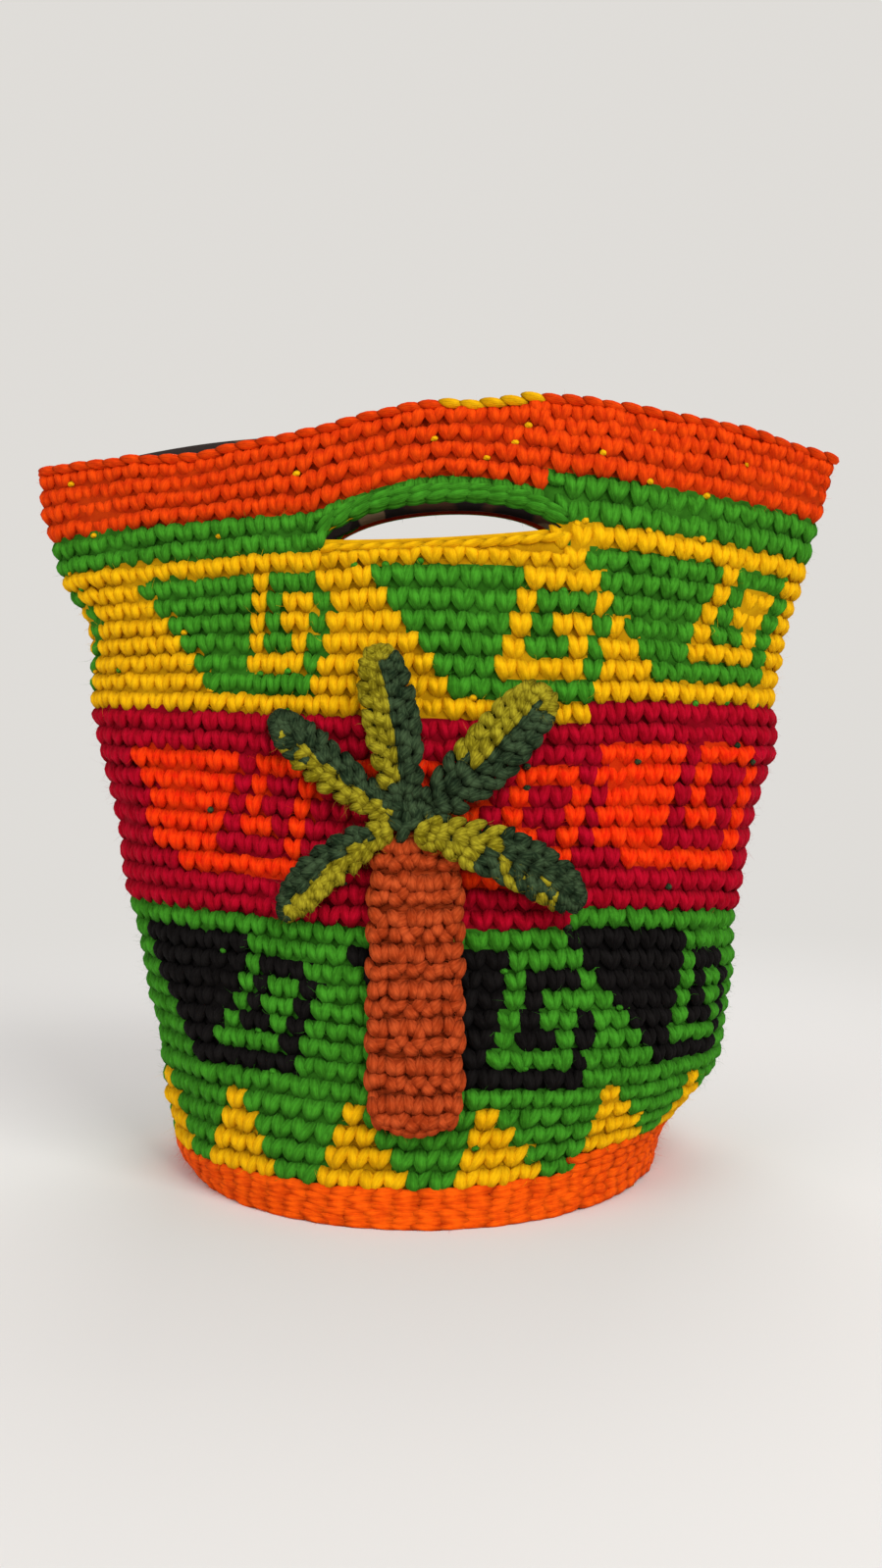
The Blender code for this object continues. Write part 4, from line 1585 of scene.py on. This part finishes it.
@dataclass
class Palm:
    """Crocheted palm: a trunk of ridges, five two-tone leaves and the knot of their stems."""

    shape: BagShape
    leg: bpy.types.Object
    seat: float = 0.0022
    trunk_width: float = 0.0248
    trunk_foot: float = 0.0265
    trunk_top: float = 0.1060
    trunk_centre: float = -0.0014
    ridges: int = 8
    columns: int = 5
    bump_height: float = 0.27
    leg_height: float = 0.70
    trunk_grain: float = 0.00195
    edge_grain: float = 0.0017
    leaf_grain: float = 0.00165
    leaf_pitch: float = 0.0041
    trunk_fibres: int = 500
    leaf_fibres: int = 420
    seed: int = 31
    # Place of each grain of the knot (x, z), and how far it is turned from upright.
    knot: tuple[tuple[float, float, float], ...] = (
        (-0.0040, 0.1115, 0.1), (-0.0068, 0.1095, -0.9), (-0.0015, 0.1100, 0.9), (-0.0048, 0.1070, 0.35),
        (-0.0022, 0.1136, -0.4), (-0.0064, 0.1130, 0.5), (-0.0036, 0.1092, 1.5), (-0.0006, 0.1122, 0.2))

    def lay(self, pile: YarnPile, x: np.ndarray, z: np.ndarray, direction: np.ndarray,
            half_length: np.ndarray | float, radius: np.ndarray | float, out: np.ndarray | float,
            yarns: Yarn | Sequence[int], bow: float = 0.0008) -> None:
        """Lay grains of yarn on the front of the bag.

        Args:
            pile: the pile to add them to.
            x: across positions.
            z: heights.
            direction: angle of each grain from upright, clockwise.
            half_length: half the length of a grain, for all or for each.
            radius: radius of a grain, for all or for each.
            out: how far the middle of a grain stands off the bag, for all or for each.
            yarns: the yarn of all grains, or the material number of each.
            bow: how far the ends dip under the middle.
        """
        template = pile.template
        half_length, radius, out = (np.broadcast_to(np.asarray(part, float), x.shape)
                                    for part in (half_length, radius, out))
        numbers = np.full(len(x), yarns.value) if isinstance(yarns, Yarn) else np.asarray(yarns, int)
        along = template[None, :, 2] * half_length[:, None]
        across = template[None, :, 0] * radius[:, None]
        sine, cosine = np.sin(direction)[:, None], np.cos(direction)[:, None]
        px = x[:, None] + along * sine + across * cosine
        pz = z[:, None] + along * cosine - across * sine
        proud = out[:, None] - template[None, :, 1] * radius[:, None] - bow * template[None, :, 2] ** 2
        y = self.shape.front(px, pz) - proud
        pile.add(np.stack([px, y, pz], axis=2), numbers)

    def fuzz(self, pile: YarnPile, x: np.ndarray, z: np.ndarray, out: float, yarn: Yarn,
             random: np.random.Generator) -> None:
        """Scatter loose fibres over an applique.

        Args:
            pile: the pile to add them to.
            x: across positions of the roots.
            z: heights of the roots.
            out: how far the roots stand off the bag.
            yarn: the yarn that they come from.
            random: source of the small differences.
        """
        y = self.shape.front(x, z) - out
        outward = np.tile([0.0, -1.0, 0.0], (len(x), 1))
        pile.add_fibres(np.stack([x, y, z], axis=1), outward, yarn, random)

    def trunk_half(self, t: np.ndarray) -> np.ndarray:
        """Half width of the trunk along its height.

        Args:
            t: share of the way up.

        Returns:
            The half widths.
        """
        foot = np.minimum(1.0, 0.70 + 4.0 * t)
        top = np.minimum(1.0, 0.60 + 0.40 * np.sqrt(np.minimum((1.0 - t) / 0.14, 1.0)))
        return self.trunk_width / 2 * np.minimum(foot, top)

    def build_trunk(self) -> bpy.types.Object:
        """Build the trunk: each ridge is a row of legs over a row of bumps.

        Returns:
            The trunk's crochet.
        """
        random = np.random.default_rng(self.seed)
        pile = YarnPile(self.leg)
        length = self.trunk_top - self.trunk_foot
        for ridge in range(self.ridges):
            self.lay_trunk_row(pile, (ridge + self.bump_height) / self.ridges, False, random)
            self.lay_trunk_row(pile, (ridge + self.leg_height) / self.ridges, True, random)
        self.lay_trunk_edges(pile, random)
        t = np.linspace(0.02, 0.98, 30)
        self.backing(pile, np.full(len(t), self.trunk_centre), self.trunk_foot + t * length,
                     self.trunk_half(t), Yarn.RUST)
        t = random.uniform(0, 1, self.trunk_fibres)
        x = self.trunk_centre + random.uniform(-1, 1, self.trunk_fibres) * self.trunk_half(t)
        self.fuzz(pile, x, self.trunk_foot + t * length, self.seat + 0.0045, Yarn.RUST, random)
        return pile.build("palm_trunk_crochet")

    def lay_trunk_row(self, pile: YarnPile, t: float, legs: bool, random: np.random.Generator) -> None:
        """Lay one row across the trunk, domed in the middle.

        Args:
            pile: the pile to add it to.
            t: share of the way up the trunk.
            legs: whether it is a row of upright legs, or of lying bumps.
            random: source of the small differences.
        """
        length = self.trunk_top - self.trunk_foot
        pitch = length / self.ridges
        half = float(self.trunk_half(np.array(t)))
        middles = (np.arange(self.columns) + 0.5) / self.columns * 2 - 1
        middles = middles + random.normal(0, 0.035, self.columns)
        dome = 0.0044 - 0.0022 * np.abs(middles) ** 3 + random.normal(0, 0.0003, self.columns)
        for side in (-1, 1):
            x = self.trunk_centre + (middles + side * (0.095 if legs else 0.09)) * half
            level = self.trunk_foot + t * length + (0.0 if legs else side * 0.0006)
            z = level + random.normal(0, 0.0005, self.columns)
            sway = random.normal(0, 0.20 if legs else 0.25, self.columns)
            direction = side * (0.42 + sway) if legs else math.pi / 2 - 0.75 * side + sway
            self.lay(pile, x, z, direction, pitch * (0.30 if legs else 0.28), self.trunk_grain,
                     self.seat + dome * (0.75 if legs else 0.62), Yarn.RUST)

    def lay_trunk_edges(self, pile: YarnPile, random: np.random.Generator) -> None:
        """Lay the chains down both sides of the trunk, and the rows that close its foot and top.

        Args:
            pile: the pile to add them to.
            random: source of the small differences.
        """
        length = self.trunk_top - self.trunk_foot
        steps = 2 * self.ridges
        for side in (-1, 1):
            t = (np.arange(steps) + 0.5) / steps
            half = self.trunk_half(t) * (0.97 + 0.05 * np.sin(t * self.ridges * 2 * math.pi))
            direction = random.normal(0, 0.1, steps) + side * 0.2
            self.lay(pile, self.trunk_centre + side * half, self.trunk_foot + t * length, direction,
                     length / self.ridges * 0.34, self.edge_grain, self.seat + 0.0008, Yarn.RUST)
        count = 6
        for t_end, away, up in ((0.0, -0.0006, 1), (1.0, 0.0002, -1)):
            half = float(self.trunk_half(np.array(t_end))) * 0.92
            x = self.trunk_centre + np.linspace(-half, half, count)
            curve = (np.linspace(-1, 1, count) ** 2) * 0.0022
            z = np.full(count, self.trunk_foot + t_end * length + away) + up * curve
            direction = np.full(count, math.pi / 2) + np.linspace(0.5, -0.5, count) * up
            self.lay(pile, x, z, direction, 0.0029, self.edge_grain, self.seat + 0.0012, Yarn.RUST)

    def backing(self, pile: YarnPile, x: np.ndarray, z: np.ndarray, half: np.ndarray, yarn: Yarn) -> None:
        """Fill behind the stitches of the trunk with wide, flat grains laid across.

        Args:
            pile: the pile to add them to.
            x: middles of the grains across.
            z: heights of the grains.
            half: half lengths of the grains.
            yarn: their yarn.
        """
        template = pile.template
        px = x[:, None] + template[None, :, 2] * half[:, None] * 0.95
        pz = z[:, None] + template[None, :, 0] * 0.0030
        y = self.shape.front(px, pz) - (self.seat + 0.0004 - template[None, :, 1] * 0.0016)
        pile.add(np.stack([px, y, pz], axis=2), np.full(len(x), yarn.value))

    def build_leaf(self, leaf: Leaf, index: int) -> bpy.types.Object:
        """Build one leaf: slanted legs either side of its midrib, and a chain round its edge.

        Args:
            leaf: the leaf's own sizes and colours.
            index: which leaf it is, for its own small differences.

        Returns:
            The leaf's crochet.
        """
        random = np.random.default_rng(self.seed + 1 + index)
        pile = YarnPile(self.leg)
        seat = self.seat + leaf.lift
        reach = float(np.linalg.norm(np.array(leaf.guide[-1]) - np.array(leaf.guide[0])))
        count = int(reach / self.leaf_pitch)
        for side in (-1, 1):
            for share, shift in ((0.22, 0.25), (0.58, 0.75)):
                for strand in Strand:
                    self.lay_leaf_row(pile, leaf, side, share, (np.arange(count) + shift) / count,
                                      strand, random)
            self.lay_leaf_edge(pile, leaf, side, int(count * 0.9), reach, random)
        x, z, heading = leaf.beside(np.array([0.985, 0.985]), 0.0)
        self.lay(pile, x, z, heading + np.array([0.9, -0.9]), 0.0026, 0.0018, seat + 0.0014,
                 leaf.colour(1.0, 1))
        t = np.linspace(0.03, 0.95, 22)
        x, z, heading = leaf.beside(t, 0.0)
        self.lay(pile, x, z, heading + math.pi / 2, leaf.half(t) * 0.9, 0.0019, seat - 0.0002, Yarn.LEAF_DARK)
        t = random.uniform(0, 1, self.leaf_fibres)
        across = random.uniform(-1, 1, self.leaf_fibres) * leaf.half(t)
        x, z, _ = leaf.beside(t, across)
        for yarn in (Yarn.LEAF_DARK, Yarn.OLIVE):
            mine = np.array([leaf.colour(float(share), 1 if aside > 0 else -1) == yarn
                             for share, aside in zip(t, across)])
            if mine.any():
                self.fuzz(pile, x[mine], z[mine], seat + 0.0030, yarn, random)
        return pile.build(leaf.name + "_crochet")

    def lay_leaf_row(self, pile: YarnPile, leaf: Leaf, side: int, share: float, even: np.ndarray,
                     strand: Strand, random: np.random.Generator) -> None:
        """Lay one leg of every stitch of a row along a leaf.

        Args:
            pile: the pile to add them to.
            leaf: the leaf.
            side: side of the midrib, -1 on the right hand of the way out.
            share: how far out the row runs, as a share of the half width.
            even: evenly spaced shares of the way to the tip.
            strand: which leg of the stitch.
            random: source of the small differences.
        """
        count = len(even)
        t = even + random.normal(0, 0.006, count)
        half = leaf.half(t)
        across = side * np.minimum(half * share, np.maximum(half - 0.0027, 0.0002))
        across = across + strand.value * 0.0009 + random.normal(0, 0.0002, count)
        x, z, heading = leaf.beside(t, across)
        heading = heading - side * 0.45 - strand.value * (0.38 + random.normal(0, 0.18, count))
        yarns = [leaf.colour(float(part + random.normal(0, 0.025)), side).value for part in t]
        dome = 0.0026 - 0.0012 * share + random.normal(0, 0.00025, count)
        self.lay(pile, x, z, heading, 0.0031 * np.sqrt(half / leaf.width * 2),
                 self.leaf_grain * random.normal(1, 0.09, count), self.seat + leaf.lift + dome, yarns,
                 bow=0.0011)

    def lay_leaf_edge(self, pile: YarnPile, leaf: Leaf, side: int, count: int, reach: float,
                      random: np.random.Generator) -> None:
        """Lay the chain down one edge of a leaf.

        Args:
            pile: the pile to add it to.
            leaf: the leaf.
            side: side of the midrib, -1 on the right hand of the way out.
            count: number of loops.
            reach: length of the leaf.
            random: source of the small differences.
        """
        t = (np.arange(count) + 0.5 + random.normal(0, 0.12, count)) / count
        half = leaf.half(t)
        x, z, heading = leaf.beside(t, side * (half - 0.0014))
        heading = heading - side * np.arctan(np.gradient(half) / (np.gradient(t) * reach))
        yarns = [leaf.colour(float(share), side).value for share in t]
        self.lay(pile, x, z, heading - side * 0.22 + random.normal(0, 0.12, count), 0.0030, self.edge_grain,
                 self.seat + leaf.lift + 0.0010, yarns)

    def build_tie(self) -> bpy.types.Object:
        """Build the short stems and the knot over the top of the trunk.

        Returns:
            The knot's crochet.
        """
        random = np.random.default_rng(self.seed + 20)
        pile = YarnPile(self.leg)
        x, z, turn = np.array(self.knot).T
        self.lay(pile, x, z, turn + random.normal(0, 0.08, len(x)), 0.0036, 0.0018, self.seat + 0.0042,
                 Yarn.LEAF_DARK)
        return pile.build("palm_knot")


@dataclass
class Studio:
    """Plain pale floor, soft lamps and the camera of the photograph."""

    focal_pixels: float = 1540.0
    image_height: float = 1599.0
    horizon_pixel: float = 735.0
    camera_place: tuple[float, float, float] = (0.0059, -0.487, 0.139)
    fade_start: float = 0.15
    fade_end: float = 0.60
    floor_size: float = 24.0
    lamp_aim: tuple[float, float, float] = (0.0, 0.0, 0.11)
    pale: Colour = (0.74, 0.72, 0.69)
    even_light: Colour = (0.55, 0.55, 0.56)

    def build(self) -> None:
        """Set the stage round the bag."""
        self.make_floor()
        self.make_lamps()
        self.make_world()
        self.make_camera()
        bpy.context.scene.view_settings.view_transform = "Standard"

    def make_floor(self) -> None:
        """Make the pale floor, which fades into the backdrop away from the bag."""
        pale = (*self.pale, 1.0)
        made, shader = new_material("pale_backdrop", {"Base Color": pale, "Roughness": 0.8})
        tree = made.node_tree
        place = add_node(tree, "TexCoord")
        distance = add_node(tree, "VectorMath", None, {0: place.outputs["Object"]}, operation="LENGTH")
        fade = add_node(tree, "MapRange", {"From Min": self.fade_start, "From Max": self.fade_end},
                        {"Value": distance.outputs["Value"]}, interpolation_type="SMOOTHSTEP")
        glow = add_node(tree, "Emission", {"Color": pale})
        mixed = add_node(tree, "MixShader", None, {
            0: fade.outputs["Result"], 1: shader.outputs["BSDF"], 2: glow.outputs["Emission"]})
        tree.links.new(mixed.outputs["Shader"], tree.nodes["Material Output"].inputs["Surface"])
        deselect()
        bpy.ops.mesh.primitive_plane_add(size=self.floor_size, location=(0.0, 0.0, 0.0))
        floor = bpy.context.active_object
        floor.name = "studio_floor"
        floor.data.materials.append(made)

    def make_lamps(self) -> None:
        """Hang a key lamp at the upper right, a weaker fill at the left and one behind the bag."""
        for name, place, size, power in (("key_lamp", (0.55, -0.75, 0.85), 0.7, 9.0),
                                         ("fill_lamp", (-0.8, -0.55, 0.45), 0.9, 3.2),
                                         ("rear_lamp", (0.1, 0.9, 0.9), 0.9, 5.0)):
            data = bpy.data.lights.new(name, "AREA")
            data.size = size
            data.energy = power
            lamp = bpy.data.objects.new(name, data)
            bpy.context.scene.collection.objects.link(lamp)
            lamp.location = place
            aim = np.array(self.lamp_aim) - np.array(place)
            lamp.rotation_euler = (math.atan2(math.hypot(aim[0], aim[1]), -aim[2]), 0.0,
                                   math.atan2(aim[0], -aim[1]) + math.pi)

    def make_world(self) -> None:
        """Light everything evenly from a pale world."""
        world = bpy.data.worlds.new("studio_world")
        bpy.context.scene.world = world
        world.use_nodes = True
        tree = world.node_tree
        background = tree.nodes["Background"]
        path = add_node(tree, "LightPath")
        mix = add_node(tree, "Mix", {"A": (*self.even_light, 1.0), "B": (*self.pale, 1.0)},
                       {"Factor": path.outputs["Is Camera Ray"]}, data_type="RGBA")
        tree.links.new(mix.outputs["Result"], background.inputs["Color"])
        background.inputs["Strength"].default_value = 1.0

    def make_camera(self) -> None:
        """Put the camera where the photograph was taken from."""
        data = bpy.data.cameras.new("photo_camera")
        data.sensor_fit = "AUTO"
        data.sensor_width = 36.0
        data.lens = self.focal_pixels * data.sensor_width / self.image_height
        data.clip_start = 0.01
        camera = bpy.data.objects.new("photo_camera", data)
        bpy.context.scene.collection.objects.link(camera)
        camera.location = self.camera_place
        pitch = math.atan((self.image_height / 2 - self.horizon_pixel) / self.focal_pixels)
        camera.rotation_euler = (math.pi / 2 - pitch, 0.0, 0.0)
        bpy.context.scene.camera = camera


def attach(piece: bpy.types.Object, node: str) -> None:
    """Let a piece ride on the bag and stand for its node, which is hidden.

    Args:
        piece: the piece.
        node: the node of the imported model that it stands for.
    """
    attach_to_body(piece, "root")
    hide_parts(node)
    log.info("%s: %d faces, stands for %s", piece.name, len(piece.data.polygons), node)


def main() -> None:
    """Build the whole look of the bag."""
    logging.basicConfig(level=logging.INFO, format="%(message)s")
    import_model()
    shape = BagShape()
    leg = model_leg()
    crochet = CrochetShell(shape, leg)
    for piece in crochet.build_bands():
        attach(piece, "bag_body")
    cutter = slot_cutter(shape, 0.0)
    attach(crochet.build_core(cutter), "bag_body")
    wide_cutter = slot_cutter(shape, 0.001)
    lining = Lining(shape).build(wide_cutter)
    attach(lining, "lining")
    palm = Palm(shape, leg)
    attach(palm.build_trunk(), "palm_trunk")
    for index, leaf in enumerate(LEAVES):
        attach(palm.build_leaf(leaf, index), leaf.name)
    attach(palm.build_tie(), "leaf_tie")
    for helper in (leg, cutter, wide_cutter):
        bpy.data.objects.remove(helper, do_unlink=True)
    Studio().build()


if __name__ == "__main__":
    main()
